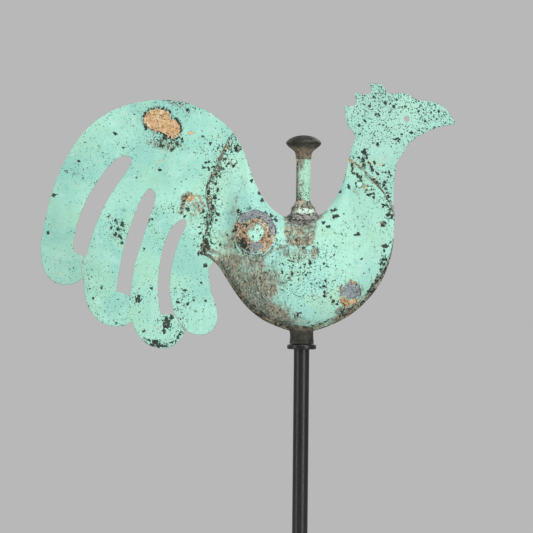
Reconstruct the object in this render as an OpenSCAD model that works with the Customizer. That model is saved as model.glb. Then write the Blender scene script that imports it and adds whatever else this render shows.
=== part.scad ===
// Cockerel weather vane: a hollow sheet-copper bird turning on a pointed
// spindle that stands on a round mast.
// Frame: +Z up along the turning axis, origin at the middle of the mast's
// foot, +X the way the beak points, Y through the thickness of the bird.
// Outline points are [x, z] in millimetres for a 427 mm long bird, with
// x from the turning axis and z from the top face of the mast flange.

/* [Bird] */
// Length from the tail's rear edge to the tip of the beak
vane_length = 427; // [405:1:450]
// Thickness of the tail and head sheets
sheet_t = 1.2; // [0.8:0.1:1.6]
// Thickness of the raised body shells
shell_t = 0.9; // [0.7:0.1:1.2]
// How far each body shell stands out from the middle plane
body_depth = 33; // [28:1:36]
// Width of the flat rim that joins the two shells along the keel
keel_rim = 3.4; // [2.8:0.1:4]
// Diameter of the eye hole
eye_d = 5.8; // [4:0.2:8]
// Width of the saw cut between touching feather tips
kerf = 0.6; // [0.4:0.1:0.9]

/* [Pivot] */
// Outside diameter of the tube that runs up through the bird
tube_d = 14.8; // [14:0.2:15.6]
// Wall of that tube
tube_wall = 1.0; // [0.8:0.1:1.2]
// Diameter of the spindle inside the tube
spindle_d = 10; // [9:0.5:10.5]
// Height of the tube's closed top above the mast flange
tube_top = 203; // [198:1:206]
// Running gap between the spindle and its bushes, on radius
run_gap = 0.05; // [0.02:0.01:0.1]
// Diameter of the button-shaped finial
finial_d = 37; // [30:0.2:40]

/* [Mast] */
// Height of the flange's top face above the foot
mast_h = 300; // [240:5:400]
// Diameter of the mast
mast_d = 16; // [15:0.5:18]
// Diameter of the flange
flange_d = 30; // [27:0.5:33]
// Thickness of the flange
flange_t = 5; // [4:0.5:6]

/* [Hidden] */

bird_scale = vane_length / 427;
flat_scale = [bird_scale, bird_scale];
gap = sheet_t / 2;            // middle plane to the shells' inner faces
rim_y = gap + shell_t;        // middle plane to the rim's outer face
fit = 0.05;                   // clearance of soldered joints
pin_gap = 0.02;               // clearance round rivets and the fixed spindle
film_gap = 0.02;              // clearance under solder on flat sheet
skin_gap = 0.03;              // clearance under anything laid on the shells
tube_r = tube_d / 2;
bore_r = tube_r - tube_wall;
spindle_r = spindle_d / 2;
tube_bottom = 2.1;
underside = 0.4;              // bottom of the ferrule and lower bush
ferrule_r = 12;
ferrule_top = 26;
bush_flange_r = 9.5;
spindle_socket = 30;          // depth of the hole in the mast, below the flange
spindle_depth = spindle_socket - 0.1;
patch_centre = [-49.5, 114];
patch_r = 10;

verdigris = "#9fdcc4";
bronze = "#3f3d37";
lead = "#85848c";
brass = "#b9935a";
mast_black = "#1b1c1e";
steel = "#55565a";

// Rivets: [x, z] places and shank radii
tail_pins = [[-67.6, 201], [-71.7, 187], [-86.9, 144.7], [-91.1, 105.5]];
neck_pins = [[57.7, 165.2], [67.8, 161.3], [82.7, 125.2]];
breast_pins = [[74.2, 57.9]];
rivet_r = 1.6;
breast_rivet_r = 0.8;

// ---- curves ------------------------------------------------------------
// A position on a curve is a point's index plus the share of the next span.
// Point i of a curve, carried on in a straight line past either end.
function extended(curve, i) = i < 0 ? 2 * curve[0] - curve[1]
    : i >= len(curve) ? 2 * curve[len(curve) - 1] - curve[len(curve) - 2]
    : curve[i];
function catmull_rom(before, start, end, after, part) = 0.5 * (2 * start
    + (end - before) * part
    + (2 * before - 5 * start + 4 * end - after) * part * part
    + (3 * start - before - 3 * end + after) * part * part * part);
function point_at(curve, pos) = let (i = min(floor(pos), len(curve) - 2))
    catmull_rom(extended(curve, i - 1), extended(curve, i),
        extended(curve, i + 1), extended(curve, i + 2), pos - i);
// Smooth curve without its last point, so that runs can be joined.
function smooth(curve, steps = 5) =
    [for (pos = [0 : 1 / steps : len(curve) - 1 - 0.5 / steps]) point_at(curve, pos)];
// One outline from several runs that meet at corners.
function outline(runs, steps = 5) = [for (curve = runs) each smooth(curve, steps)];
function stretch(curve, from, to, spans) =
    [for (j = [0 : spans]) point_at(curve, from + (to - from) * j / spans)];
// Unit vector to the left of the curve's direction.
function side(curve, pos) = let (step = 0.01,
    dir = point_at(curve, min(pos + step, len(curve) - 1))
        - point_at(curve, max(pos - step, 0)))
    [-dir[1], dir[0]] / norm(dir);
function beside(curve, pos, offset) = point_at(curve, pos) + side(curve, pos) * offset;
// Strip along a curve between two sideways offsets.
function band(curve, from, to, spans, near, far) = concat(
    [for (j = [0 : spans]) beside(curve, from + (to - from) * j / spans, near)],
    [for (j = [spans : -1 : 0]) beside(curve, from + (to - from) * j / spans, far)]);

// ---- the bird's outlines -----------------------------------------------
// Back of the body, from the tail seam down to the saddle and up to the neck.
back = [[-72, 217], [-65.5, 206.5], [-59.5, 193], [-53.5, 176.5], [-47, 161],
    [-38.5, 147], [-27, 135.5], [-12, 129.3], [5, 129], [18, 133.5], [27.5, 142.5],
    [34.5, 153], [40, 165], [42.8, 173.5], [45, 182], [46.5, 190]];
// Keel, from the tail seam round the belly to the breast.
keel = [[-103.5, 91.5], [-95.5, 88.2], [-85, 77.5], [-72.5, 58], [-58.5, 39.7],
    [-43, 26.6], [-26.5, 18.6], [-9, 13.4], [9, 13.4], [27, 19], [45, 27.8],
    [62, 41], [77.5, 59.5], [87.5, 80], [93, 103], [94.3, 132]];
// How full the body is at each of those points, as a share of its depth.
fullness = [0, 0, 0.09, 0.42, 0.67, 0.84, 0.95, 1, 1, 0.98, 0.92, 0.81, 0.62, 0.31, 0, 0];
// Seam of shell over tail sheet, from the back down to the keel.
tail_seam = [[-72, 217], [-76.5, 210], [-80, 203], [-83, 195.5], [-86.5, 187],
    [-91, 178], [-95.5, 170.5], [-98.3, 163], [-99.2, 155], [-98.8, 148], [-97, 141],
    [-94.8, 134.5], [-94.9, 128.5], [-97, 121.5], [-99.3, 113.5], [-101.2, 105.5],
    [-102.7, 98], [-103.5, 91.5]];
// Seam of shell over head sheet, from the back down to the breast.
neck_seam = [[46.5, 190], [51, 186.8], [56, 184.7], [60.2, 181.5], [64, 177.3],
    [68, 172.6], [72, 168.3], [76, 164.2], [80, 160], [83.6, 155.2], [86.8, 150],
    [90, 144], [92.6, 138], [94.3, 132]];

// The tail's free edge: the long upper edge, then the tips toward the body.
tail_edges = [
    [[-72, 217], [-80, 225.2], [-90, 233.3], [-100, 239.6], [-111, 244.3],
     [-123, 248], [-136, 250], [-150, 250.2], [-162, 249.3], [-174, 247],
     [-186, 243.6], [-198, 238.5], [-208, 232.6], [-218, 225.2], [-227, 215.8],
     [-235, 205.2], [-243, 192.5], [-250, 178.2], [-255.5, 163.5], [-260, 149.5],
     [-264, 133], [-267.2, 117], [-269.5, 101], [-269.3, 88], [-267, 76.5],
     [-261.5, 66.5], [-253, 60.4], [-243.5, 58.7], [-234, 60.6], [-225.4, 66.4]],
    [[-225.4, 66.4], [-225, 56], [-223.4, 45], [-219.5, 34.8], [-213, 26],
     [-205, 19.8], [-196, 16.9], [-187, 16.5], [-180, 18.6], [-174.8, 21.8]],
    [[-174.8, 21.8], [-171.5, 13.5], [-166, 5], [-159, -1], [-151, -4.7],
     [-142.5, -5.5], [-134, -3.6], [-127, 1.6], [-122.4, 7.6], [-120.5, 13.6]],
    [[-120.5, 13.6], [-113.5, 9.9], [-106, 8.7], [-99, 9.4], [-92.5, 13.2],
     [-88.4, 20], [-86.9, 28], [-88, 36.6], [-91.2, 45.8], [-94.2, 55.5],
     [-95.5, 65], [-96, 74], [-94.6, 80.6], [-90, 83.9]]];
// Slots between the feathers, each a long loop and its lower end.
tail_slots = [
    [[[-235.6, 93.2], [-235.8, 101], [-234.4, 111.5], [-232, 122], [-228.6, 133],
      [-223.8, 144.5], [-217.8, 156], [-211, 167], [-203.8, 176.8], [-197, 184.8],
      [-190.5, 190], [-184, 192.4], [-178.7, 191.2], [-177.2, 187], [-179.6, 180],
      [-184.5, 172.4], [-190.5, 164], [-196.5, 155.4], [-202, 145.8], [-206.8, 136],
      [-210.9, 126.6], [-214.4, 117.6], [-217.4, 109], [-220.2, 98.5], [-224.6, 85.4]],
     [[-224.6, 85.4], [-226.4, 88.4], [-229.6, 90.7], [-235.6, 93.2]]],
    [[[-191.4, 52.8], [-190.3, 63], [-188.4, 75], [-186.2, 87], [-183.8, 99],
      [-180.8, 110], [-177.2, 120.5], [-173.6, 131], [-169.6, 141], [-165, 150.4],
      [-160.6, 156.3], [-156.2, 157.9], [-153, 154.4], [-152.6, 147.6], [-154.8, 138.8],
      [-158, 129], [-161.3, 118.5], [-164.6, 107.5], [-168, 97], [-171.2, 86.5],
      [-173.8, 75], [-175.7, 62], [-177, 47]],
     [[-177, 47], [-179.4, 49.2], [-184, 51.2], [-191.4, 52.8]]],
    [[[-145.4, 29.1], [-147.3, 40], [-148.5, 51], [-148.5, 62], [-147.8, 73],
      [-146.5, 84], [-144.5, 94.5], [-141.6, 104], [-138.3, 112.4], [-134, 119.6],
      [-128.8, 125], [-124, 127.4], [-120.8, 126.4], [-120.6, 121], [-123.6, 114],
      [-127, 106], [-130, 98], [-132.7, 88], [-135, 76], [-136.4, 64], [-136.2, 53],
      [-134.6, 43], [-130.9, 28.8]],
     [[-130.9, 28.8], [-137, 29.8], [-145.4, 29.1]]]];
// Saw cuts left open where one feather tip touches the next.
kerf_lines = [
    [[-224.6, 86.4], [-227.4, 80], [-227.9, 73.5], [-224.9, 65.4]],
    [[-131.4, 29.8], [-127.8, 24.4], [-124.6, 18.6], [-119.9, 13]]];
// Closed joint between the second and third tips.
tips_joint = [[-176.9, 44.6], [-177.3, 38], [-176.8, 31], [-175.3, 24.4]];

module tail_outline() {
    // the tongue between the shells follows the keel, crosses, and joins the back
    tongue = concat(stretch(keel, 1.52, 2.2, 5),
        [[-80, 90], [-79.5, 118], [-76, 150], [-66, 180]],
        stretch(back, 2.2, 0.05, 9));
    scale(flat_scale) polygon(concat(outline(tail_edges), tongue));
}
module tail_cuts() scale(flat_scale) {
    for (slot = tail_slots) polygon(outline(slot));
    for (line = kerf_lines) polygon(band(line, 0, 3, 9, -kerf / 2, kerf / 2));
}

// The head's edge, from the back over the comb and round to the breast.
nape = [[46.5, 190], [48.2, 198], [50.2, 206], [53.2, 213.2], [51.6, 218],
    [47, 223.5], [43.7, 230], [42.3, 238], [41.8, 246.8]];
comb_rear = [
    [[41.8, 246.8], [45.6, 245.6], [50, 246.4], [53.8, 247.4]],
    [[53.8, 247.4], [53.6, 252], [52.6, 256], [51.8, 259.6]],
    [[51.8, 259.6], [57, 259], [63, 258.3], [68.4, 259.2]],
    [[68.4, 259.2], [68.8, 263.5], [67.6, 270.4]]];
comb_front = [[67.6, 270.4], [72.5, 269.4], [78, 269.2], [81.4, 267.6], [83.6, 263.4],
    [85.8, 259.4]];
// Crown, top of the beak, then jaw and throat.
face = [
    [[85.8, 259.4], [92, 259.1], [99, 259.8], [105.5, 259.3], [110.4, 256.6],
     [116.6, 252.8]],
    [[116.6, 252.8], [124, 252.2], [131.5, 251], [139, 248.7], [145.6, 244.2],
     [150.4, 238.8], [154.3, 233], [157.2, 228.4]],
    [[157.2, 228.4], [149, 227.2], [140, 225.2], [131.5, 222.2], [123.5, 218.4],
     [116.5, 214.4], [110.6, 209.6], [106.5, 205.4], [103.6, 199.4], [99.8, 193.8],
     [96.5, 187.8], [94.8, 180.6], [94, 171], [93.4, 160], [93.1, 148], [94.2, 133]]];
eye = [105.9, 233.2];

module head_outline() {
    tongue = concat(stretch(keel, 14.97, 14.2, 3), [[84, 116], [66, 140], [50, 162]],
        stretch(back, 13.1, 14.95, 9));
    scale(flat_scale) polygon(concat(smooth(nape), outline(comb_rear, 3),
        smooth(comb_front, 4), outline(face), tongue));
}

// ---- the raised body ----------------------------------------------------
// A point of the body's skin: along runs from tail seam (0) to neck seam (1),
// down from the back (0) to the inner edge of the keel rim (1).
along_spans = 45;
down_steps = [0, 0.006, 0.022, 0.055, 0.11, 0.19, 0.3, 0.42, 0.54, 0.66, 0.77, 0.86,
    0.925, 0.965, 0.988, 0.997, 1];
down_spans = len(down_steps) - 1;
last = len(back) - 1;
ring_size = 2 * down_spans + 5;           // points in a section of the shell wall
function station(i) = 0.0015 + 0.997 * i / along_spans;
function clip01(value) = max(0, min(1, value));
function mix(from, to, share) = from + (to - from) * share;
// Influence of a seam's shape, fading out over the nearest 0.3 of the body.
function seam_pull(distance) = pow(max(0, 1 - distance / 0.3), 2);
// Rim width narrows toward the breast.
function rim_width(pos) =
    keel_rim / bird_scale * (pos > 12.5 ? max(0.35, 1 - 0.55 * (pos - 12.5)) : 1);
function rim_edge(along) = let (pos = along * last)
    beside(keel, pos, rim_width(pos) * min(1, 60 * along, 60 * (1 - along)));
// How far a seam departs from the straight line between its ends.
function seam_bow(seam, i, down) =
    point_at(seam, down * (len(seam) - 1)) - mix(back[i], keel[i], down);
function plan(along, down) = mix(point_at(back, along * last), rim_edge(along), down)
    + seam_pull(along) * seam_bow(tail_seam, 0, down)
    + seam_pull(1 - along) * seam_bow(neck_seam, last, down);
function fullness_at(along) = let (pos = along * last, i = min(floor(pos), last - 1))
    max(0, catmull_rom(fullness[max(i - 1, 0)], fullness[i], fullness[i + 1],
        fullness[min(i + 2, last)], pos - i));
function bulge(down) = pow(max(0, 1 - pow(abs(2 * down - 1), 2.3)), 1 / 2.1);
// An [x, z] point set at depth y.
function at_depth(point, y) = [point[0], y, point[1]];
function skin(along, down) = at_depth(plan(along, down) * bird_scale,
    -(rim_y + (body_depth - rim_y) * fullness_at(along) * bulge(down)));

// The [along, down] whose skin lies over an [x, z] place, by narrowing a grid.
function seek(place, along = 0.5, down = 0.5, reach = 0.16, rounds = 10) =
    rounds == 0 ? [along, down] : let (
        tries = [for (i = [-3 : 3], j = [-3 : 3])
            let (u = clip01(along + i * reach), v = clip01(down + j * reach))
            [norm(plan(u, v) - place), u, v]],
        least = min([for (try = tries) try[0]]),
        best = [for (try = tries) if (try[0] == least) try][0])
    seek(place, best[1], best[2], reach * 0.42, rounds - 1);
function stand_off(place) = let (found = seek(place)) -skin(found[0], found[1])[1];
// Distance from the middle plane at which a flat head clears the skin.
function seat(place, head_r) = skin_gap + max(concat([stand_off(place)],
    [for (angle = [0 : 45 : 315]) stand_off(place + head_r * [cos(angle), sin(angle)])]));

// Unit normal of the skin, pointing out of the body.
function normal(along, down) = let (step = 0.004,
    lengthwise = skin(clip01(along + step), down) - skin(clip01(along - step), down),
    crosswise = skin(along, clip01(down + step)) - skin(along, clip01(down - step)),
    out = cross(lengthwise, crosswise))
    out / norm(out) * (out[1] > 0 ? -1 : 1);
function inner_skin(along, down) =
    let (point = skin(along, down) - normal(along, down) * shell_t)
    [point[0], min(point[1], -gap), point[2]];

// Point on the shell's flat inner edge, set in from the back (0) or rim edge (1).
function inset(along, edge) = let (start = plan(along, edge),
    dir = plan(along, edge == 0 ? 0.05 : 0.95) - start)
    start * bird_scale
        + dir / norm(dir) * (0.35 + shell_t * min(1, 4 * fullness_at(along)));
// One section of the shell wall, as a closed ring of points.
function ring(along) = let (keel_point = point_at(keel, along * last) * bird_scale)
    concat([at_depth(plan(along, 0) * bird_scale, -gap)],
        [for (down = down_steps) skin(along, down)],
        [at_depth(keel_point, -rim_y), at_depth(keel_point, -gap),
            at_depth(inset(along, 1), -gap)],
        [for (j = [down_spans - 1 : -1 : 1]) inner_skin(along, down_steps[j])],
        [at_depth(inset(along, 0), -gap)]);

// Triangles across a ring, joining points j and j + 1 to those numbered sum - j.
function cap_strip(first, final, sum) = [for (j = [first : final]) let (far = sum - j)
    each [[j, j + 1, far - 1], [j, far - 1, far]]];
// Solid through a row of rings; cap holds the triangles of its first end.
module loft(rings, cap) {
    count = len(rings[0]);
    spans = len(rings) - 1;
    polyhedron(points = [for (section = rings) each section],
        faces = concat(
            [for (i = [0 : spans - 1], j = [0 : count - 1])
                let (here = i * count, there = here + count, next = (j + 1) % count)
                each [[here + j, there + j, there + next],
                      [here + j, there + next, here + next]]],
            cap,
            [for (tri = cap) [for (i = [0, 2, 1]) tri[i] + spans * count]]),
        convexity = 6);
}
module shell_wall() {
    edge = down_spans + 1;
    loft([for (i = [0 : along_spans]) ring(station(i))],
        concat(cap_strip(1, down_spans, ring_size),
            [[0, 1, ring_size - 1], [edge, edge + 1, edge + 2],
             [edge, edge + 2, edge + 3]]));
}
// The space within the skin between two stations, grown in Y. It ends at the
// middle plane if one_side, otherwise it takes in both shells.
module body_lump(first, final, growth, one_side = true) {
    rings = [for (i = [first : final])
        let (line = [for (down = down_steps) skin(station(i), down)])
        concat([for (point = line) point - [0, growth, 0]],
            [for (j = [down_spans : -1 : 0]) let (point = line[j])
                [point[0], one_side ? 0 : growth - point[1], point[2]]])];
    loft(rings, cap_strip(0, down_spans - 1, 2 * down_spans + 1));
}

// ---- helpers -------------------------------------------------------------
module on_mast() translate([0, 0, mast_h]) children();
// Flat shape stood up in the XZ plane, its thickness centred on y.
module upright(thick, y = 0)
    translate([0, y + thick / 2, 0]) rotate([90, 0, 0]) linear_extrude(thick) children();
// The same flat shape on both faces of the tail and head sheets.
module both_faces(thick)
    for (dir = [-1, 1]) upright(thick, dir * (gap + film_gap + thick / 2)) children();
module at_place(place) translate(at_depth(place * bird_scale, 0)) rotate([90, 0, 0]) children();
module cross_hole(place, radius, length)
    at_place(place) cylinder(r = radius, h = length, center = true, $fn = 48);
module pin_holes(pins, shank_r, length)
    for (place = pins) cross_hole(place, shank_r + pin_gap, length);
module tube_hole() translate([0, 0, 100 * bird_scale])
    cylinder(r = tube_r + fit, h = 60 * bird_scale, $fn = 96);
module ferrule_hole() translate([0, 0, -2])
    cylinder(r = ferrule_r + fit, h = ferrule_top + 3, $fn = 96);
// A rivet: shank through the pack and a low domed head on each side.
module rivet(place, shank_r, head_r, seat_y, dome) at_place(place) {
    head_edge = 0.25;
    cylinder(r = shank_r, h = 2 * seat_y + 0.02, center = true, $fn = 32);
    for (turn = [0, 180]) rotate([turn, 0, 0]) translate([0, 0, seat_y])
        rotate_extrude($fn = 40) polygon(concat([[0, 0], [head_r, 0]],
            [for (angle = [15 : 15 : 90])
                [head_r * cos(angle), head_edge + (dome - head_edge) * sin(angle)]]));
}

// ---- sheet parts -----------------------------------------------------------
module one_shell() difference() {
    shell_wall();
    tube_hole();
    ferrule_hole();
    pin_holes(tail_pins, rivet_r, 8);
    pin_holes(neck_pins, rivet_r, 14);
    pin_holes(breast_pins, breast_rivet_r, 8);
}
module right_body_shell() color(verdigris) on_mast() one_shell();
module left_body_shell() color(verdigris) on_mast() mirror([0, 1, 0]) one_shell();
module tail_sheet() color(verdigris) on_mast() difference() {
    upright(sheet_t) difference() {
        tail_outline();
        tail_cuts();
    }
    pin_holes(tail_pins, rivet_r, 8);
}
module head_sheet() color(verdigris) on_mast() difference() {
    upright(sheet_t) head_outline();
    cross_hole(eye, eye_d / 2, 8);
    pin_holes(neck_pins, rivet_r, 12);
}

// ---- pivot parts; profiles are [radius, z] ---------------------------------
module pivot_tube() color(verdigris) on_mast() translate([0, 0, tube_bottom]) difference() {
    cylinder(r = tube_r, h = tube_top - tube_bottom, $fn = 96);
    translate([0, 0, -1]) cylinder(r = bore_r, h = tube_top, $fn = 96);
}
collar_profile = [[0, 119], [16, 119], [17.2, 124], [17.4, 128.6], [16.2, 131],
    [14.2, 133.6], [13, 136.6], [12.6, 139.6], [11.4, 140.4], [10.2, 142.2],
    [8.8, 144.6], [8, 147.4], [0, 148]];
skirt_profile = [[0, 120], [16, 120], [17.1, 124], [17.3, 128.4], [16.1, 131.4],
    [13.2, 134.6], [0, 136]];
// Turned solid whose heights follow the bird's scale and whose radii do not.
module flashing_turn(profile) rotate_extrude($fn = 96)
    polygon([for (point = profile) [point[0], point[1] * bird_scale]]);
module tube_flashing() color(lead) on_mast() difference() {
    union() {
        flashing_turn(collar_profile);
        // the skirt is dressed out further along the ridge than down the sides
        scale([1.14, 1, 1]) flashing_turn(skirt_profile);
    }
    tube_hole();
    body_lump(15, 32, 0.04, false);
}
module finial_cap() color(bronze) on_mast() difference() {
    finial_r = finial_d / 2;
    foot = 190.6;
    bore_start = 180;
    underneath = [[tube_r + 0.7, foot], [tube_r + 0.75, 193.6], [8.9, 197.5],
        [11.8, 200.3], [15.2, 203], [finial_r - 0.9, 205.6]];
    crown = [[finial_r - 0.2, 206.5], [finial_r, 207.6], [finial_r - 0.9, 209.1],
        [15.2, 211.2], [11.2, 213.3], [6, 214.8], [0, 215.4]];
    rotate_extrude($fn = 128) polygon(concat([[0, foot]],
        stretch(underneath, 0, 5, 15), stretch(crown, 0, 6, 18)));
    translate([0, 0, bore_start])
        cylinder(r = tube_r + fit, h = tube_top - bore_start + 0.1, $fn = 96);
}
module socket_ferrule() color(bronze) on_mast() difference() {
    rotate_extrude($fn = 96) polygon([[0, underside], [12.3, underside], [12.6, 0.9],
        [12.5, 3], [12.15, 8], [ferrule_r, 13], [ferrule_r, ferrule_top - 0.6],
        [ferrule_r - 0.6, ferrule_top], [0, ferrule_top]]);
    translate([0, 0, tube_bottom - fit]) cylinder(r = tube_r + fit, h = 40, $fn = 96);
    translate([0, 0, -1]) cylinder(r = bush_flange_r + fit, h = tube_bottom + 1, $fn = 96);
}
module spindle_bore()
    translate([0, 0, -1]) cylinder(r = spindle_r + run_gap, h = 40, $fn = 96);
module lower_bush() color(brass) on_mast() difference() {
    union() {
        translate([0, 0, underside]) cylinder(r = bush_flange_r, h = 1.6, $fn = 96);
        translate([0, 0, underside]) cylinder(r = bore_r - fit, h = 20, $fn = 96);
    }
    spindle_bore();
}
module upper_bush() color(brass) on_mast() translate([0, 0, tube_top - 38]) difference() {
    cylinder(r = bore_r - fit, h = 18, $fn = 96);
    spindle_bore();
}
cup_h = 15;
module pivot_cup() color(brass) on_mast() translate([0, 0, tube_top - cup_h]) difference() {
    cylinder(r = bore_r - fit, h = cup_h, $fn = 96);
    translate([0, 0, -0.01]) cylinder(r1 = 5.4, r2 = 0.6, h = 5.01, $fn = 64);
}

// ---- rivets and solder -----------------------------------------------------
module tail_rivets() color(verdigris) on_mast()
    for (place = tail_pins) rivet(place, rivet_r, 3, seat(place, 3), 1.3);
module neck_rivets() color(verdigris) on_mast()
    for (place = neck_pins) rivet(place, rivet_r, 2.8, seat(place, 2.8) + 0.35, 1.3);
module breast_rivet() color(verdigris) on_mast()
    for (place = breast_pins) rivet(place, breast_rivet_r, 1.35, rim_y + skin_gap, 0.7);

// Solder filling the gap between the shells; parts are [from, to, spans].
module seam_fill(line, parts, width) upright(sheet_t - 0.04) scale(flat_scale)
    for (part = parts) polygon(band(line, part[0], part[1], part[2], 0, width));
module keel_seam_solder() color(lead) on_mast() difference() {
    seam_fill(keel, [[2.24, 7.2, 40], [7.8, 14.16, 44]], 3.2);
    ferrule_hole();
    pin_holes(breast_pins, breast_rivet_r, 8);
}
module back_seam_solder() color(lead) on_mast() difference() {
    seam_fill(back, [[2.45, 7.5, 40], [7.9, 12.6, 40]], -2.2);
    tube_hole();
}
// Beads that close the shell edges onto the tail and head sheets.
module seam_beads(seam, width) both_faces(0.7) scale(flat_scale)
    let (spans = len(seam) - 1)
    polygon(band(seam, 0.35, spans - 0.25, 6 * spans, 0.45 * sign(width), width));
module tail_seam_solder() color(brass) on_mast() seam_beads(tail_seam, -1.7);
module neck_seam_solder() color(brass) on_mast() seam_beads(neck_seam, 1.6);
module feather_tip_solder() color(verdigris) on_mast()
    both_faces(0.3) scale(flat_scale) polygon(band(tips_joint, 0, 3, 9, -1.1, 1.1));

// ---- repairs on the right-hand shell, each a thin layer over the skin ------
module on_skin(first, final, thick) difference() {
    body_lump(first, final, thick + skin_gap);
    body_lump(first - 1, final + 1, skin_gap);
}
module patch_disc(place, radius, start_y = -60, tall = 1)
    translate(at_depth(place * bird_scale, start_y)) rotate([-90, 0, 0])
    scale([1, tall, 1]) cylinder(r = radius, h = 52, $fn = 64);
module round_patch() color(verdigris) on_mast() intersection() {
    on_skin(8, 22, 1.1);
    patch_disc(patch_centre, patch_r);
}
module round_patch_solder() color(lead) on_mast() difference() {
    intersection() {
        on_skin(4, 24, 0.8);
        patch_disc([-49.2, 114.6], 21.8, tall = 1.08);
    }
    patch_disc(patch_centre, patch_r + fit, -62);
}
breast_patch_edge = [[39.5, 44], [38.6, 54], [43, 61.5], [50, 65.5], [56.5, 63],
    [60.4, 54], [57.5, 46.5], [50, 41], [43, 40.4], [39.5, 44]];
module breast_patch() color(lead) on_mast() intersection() {
    on_skin(25, 39, 0.7);
    translate([0, -20, 0]) rotate([90, 0, 0]) linear_extrude(60, center = true)
        scale(flat_scale) polygon(smooth(breast_patch_edge, 3));
}

// ---- mast parts ------------------------------------------------------------
module mast_pole() color(mast_black) difference() {
    bevel = 1;
    pole_top = mast_h - flange_t;
    union() {
        translate([0, 0, bevel]) cylinder(r = mast_d / 2, h = pole_top - bevel, $fn = 128);
        cylinder(r1 = mast_d / 2 - bevel, r2 = mast_d / 2, h = bevel, $fn = 128);
    }
    translate([0, 0, pole_top - spindle_socket])
        cylinder(r = spindle_r + pin_gap, h = 40, $fn = 96);
}
module mast_flange() color(mast_black) translate([0, 0, mast_h - flange_t]) difference() {
    flange_r = flange_d / 2;
    bevel = 0.5;
    rotate_extrude($fn = 128) polygon([[0, 0], [flange_r - bevel, 0], [flange_r, bevel],
        [flange_r, flange_t - bevel], [flange_r - bevel, flange_t], [0, flange_t]]);
    translate([0, 0, -1]) cylinder(r = spindle_r + pin_gap, h = 40, $fn = 96);
}
module spindle() color(steel) on_mast() translate([0, 0, -flange_t - spindle_depth]) {
    point_start = flange_t + spindle_depth + tube_top - 18;
    rotate_extrude($fn = 96) polygon([[0, 0], [spindle_r - 0.6, 0], [spindle_r, 0.6],
        [spindle_r, point_start], [0.9, point_start + 7.0], [0.55, point_start + 7.6],
        [0, point_start + 7.9]]);
}

mast_pole();
mast_flange();
spindle();
right_body_shell();
left_body_shell();
tail_sheet();
head_sheet();
pivot_tube();
tube_flashing();
finial_cap();
socket_ferrule();
lower_bush();
upper_bush();
pivot_cup();
tail_rivets();
neck_rivets();
breast_rivet();
keel_seam_solder();
back_seam_solder();
tail_seam_solder();
neck_seam_solder();
feather_tip_solder();
round_patch();
round_patch_solder();
breast_patch();
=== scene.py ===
# A bird-shaped weather vane in aged sheet copper, turning on a black mast.
# The bird lies in the X-Z plane: head toward +X, tail toward -X, Z up, with the mast on the
# Z axis. "Near" is the -Y side, which faces the camera; "far" is the +Y side.
# Shapes are worked in millimetres, with z counted from the top face of the mast flange.
import math
import bmesh
import bpy
import numpy as np
from mathutils import Matrix, Vector
from mathutils.bvhtree import BVHTree
from mathutils.geometry import delaunay_2d_cdt

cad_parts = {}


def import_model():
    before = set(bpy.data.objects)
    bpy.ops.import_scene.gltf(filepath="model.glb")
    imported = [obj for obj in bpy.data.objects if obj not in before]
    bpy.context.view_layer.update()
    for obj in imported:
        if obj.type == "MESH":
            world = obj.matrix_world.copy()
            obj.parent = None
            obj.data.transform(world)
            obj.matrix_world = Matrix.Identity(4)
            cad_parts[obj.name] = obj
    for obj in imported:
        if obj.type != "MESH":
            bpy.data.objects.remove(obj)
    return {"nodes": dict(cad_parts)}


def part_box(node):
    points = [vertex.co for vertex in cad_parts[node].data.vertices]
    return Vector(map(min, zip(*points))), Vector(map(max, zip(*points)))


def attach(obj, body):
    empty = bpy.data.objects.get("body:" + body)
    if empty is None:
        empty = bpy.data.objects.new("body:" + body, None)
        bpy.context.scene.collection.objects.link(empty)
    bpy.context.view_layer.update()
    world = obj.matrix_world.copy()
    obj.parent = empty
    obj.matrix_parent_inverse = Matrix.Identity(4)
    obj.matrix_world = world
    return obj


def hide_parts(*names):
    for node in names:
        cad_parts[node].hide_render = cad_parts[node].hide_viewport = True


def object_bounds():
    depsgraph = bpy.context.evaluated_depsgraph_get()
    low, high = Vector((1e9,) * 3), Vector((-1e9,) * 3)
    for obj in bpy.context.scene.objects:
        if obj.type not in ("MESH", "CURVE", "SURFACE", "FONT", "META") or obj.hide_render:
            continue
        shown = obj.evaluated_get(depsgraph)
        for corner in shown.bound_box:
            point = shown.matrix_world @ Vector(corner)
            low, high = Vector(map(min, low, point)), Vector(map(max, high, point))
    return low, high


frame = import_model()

# ------------------------------------------------------------------ sizes from the CAD, mm
CAD_LOW, CAD_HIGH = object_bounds()
tail_low, tail_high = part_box("tail_sheet")
flange_low, flange_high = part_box("mast_flange")
FLANGE_TOP = flange_high.z * 1000.0
FLANGE_R = flange_high.x * 1000.0
FLANGE_T = (flange_high.z - flange_low.z) * 1000.0
DRAWN_LENGTH = 426.9                    # tail to beak in the outlines below
SCALE = (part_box("head_sheet")[1].x - tail_low.x) * 1000.0 / DRAWN_LENGTH
HALF_SHEET = (tail_high.y - tail_low.y) * 500.0
BODY_DEPTH = -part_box("right_body_shell")[0].y * 1000.0 - 0.2
SHELL = 0.9                             # thickness of the body shells
FOOT = HALF_SHEET + SHELL               # |y| of a shell's flat rim
TUBE_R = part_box("pivot_tube")[1].x * 1000.0
MAST_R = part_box("mast_pole")[1].x * 1000.0
CAP_LOW, CAP_HIGH = (v.z * 1000.0 - FLANGE_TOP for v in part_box("finial_cap"))
CAP_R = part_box("finial_cap")[1].x * 1000.0

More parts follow.
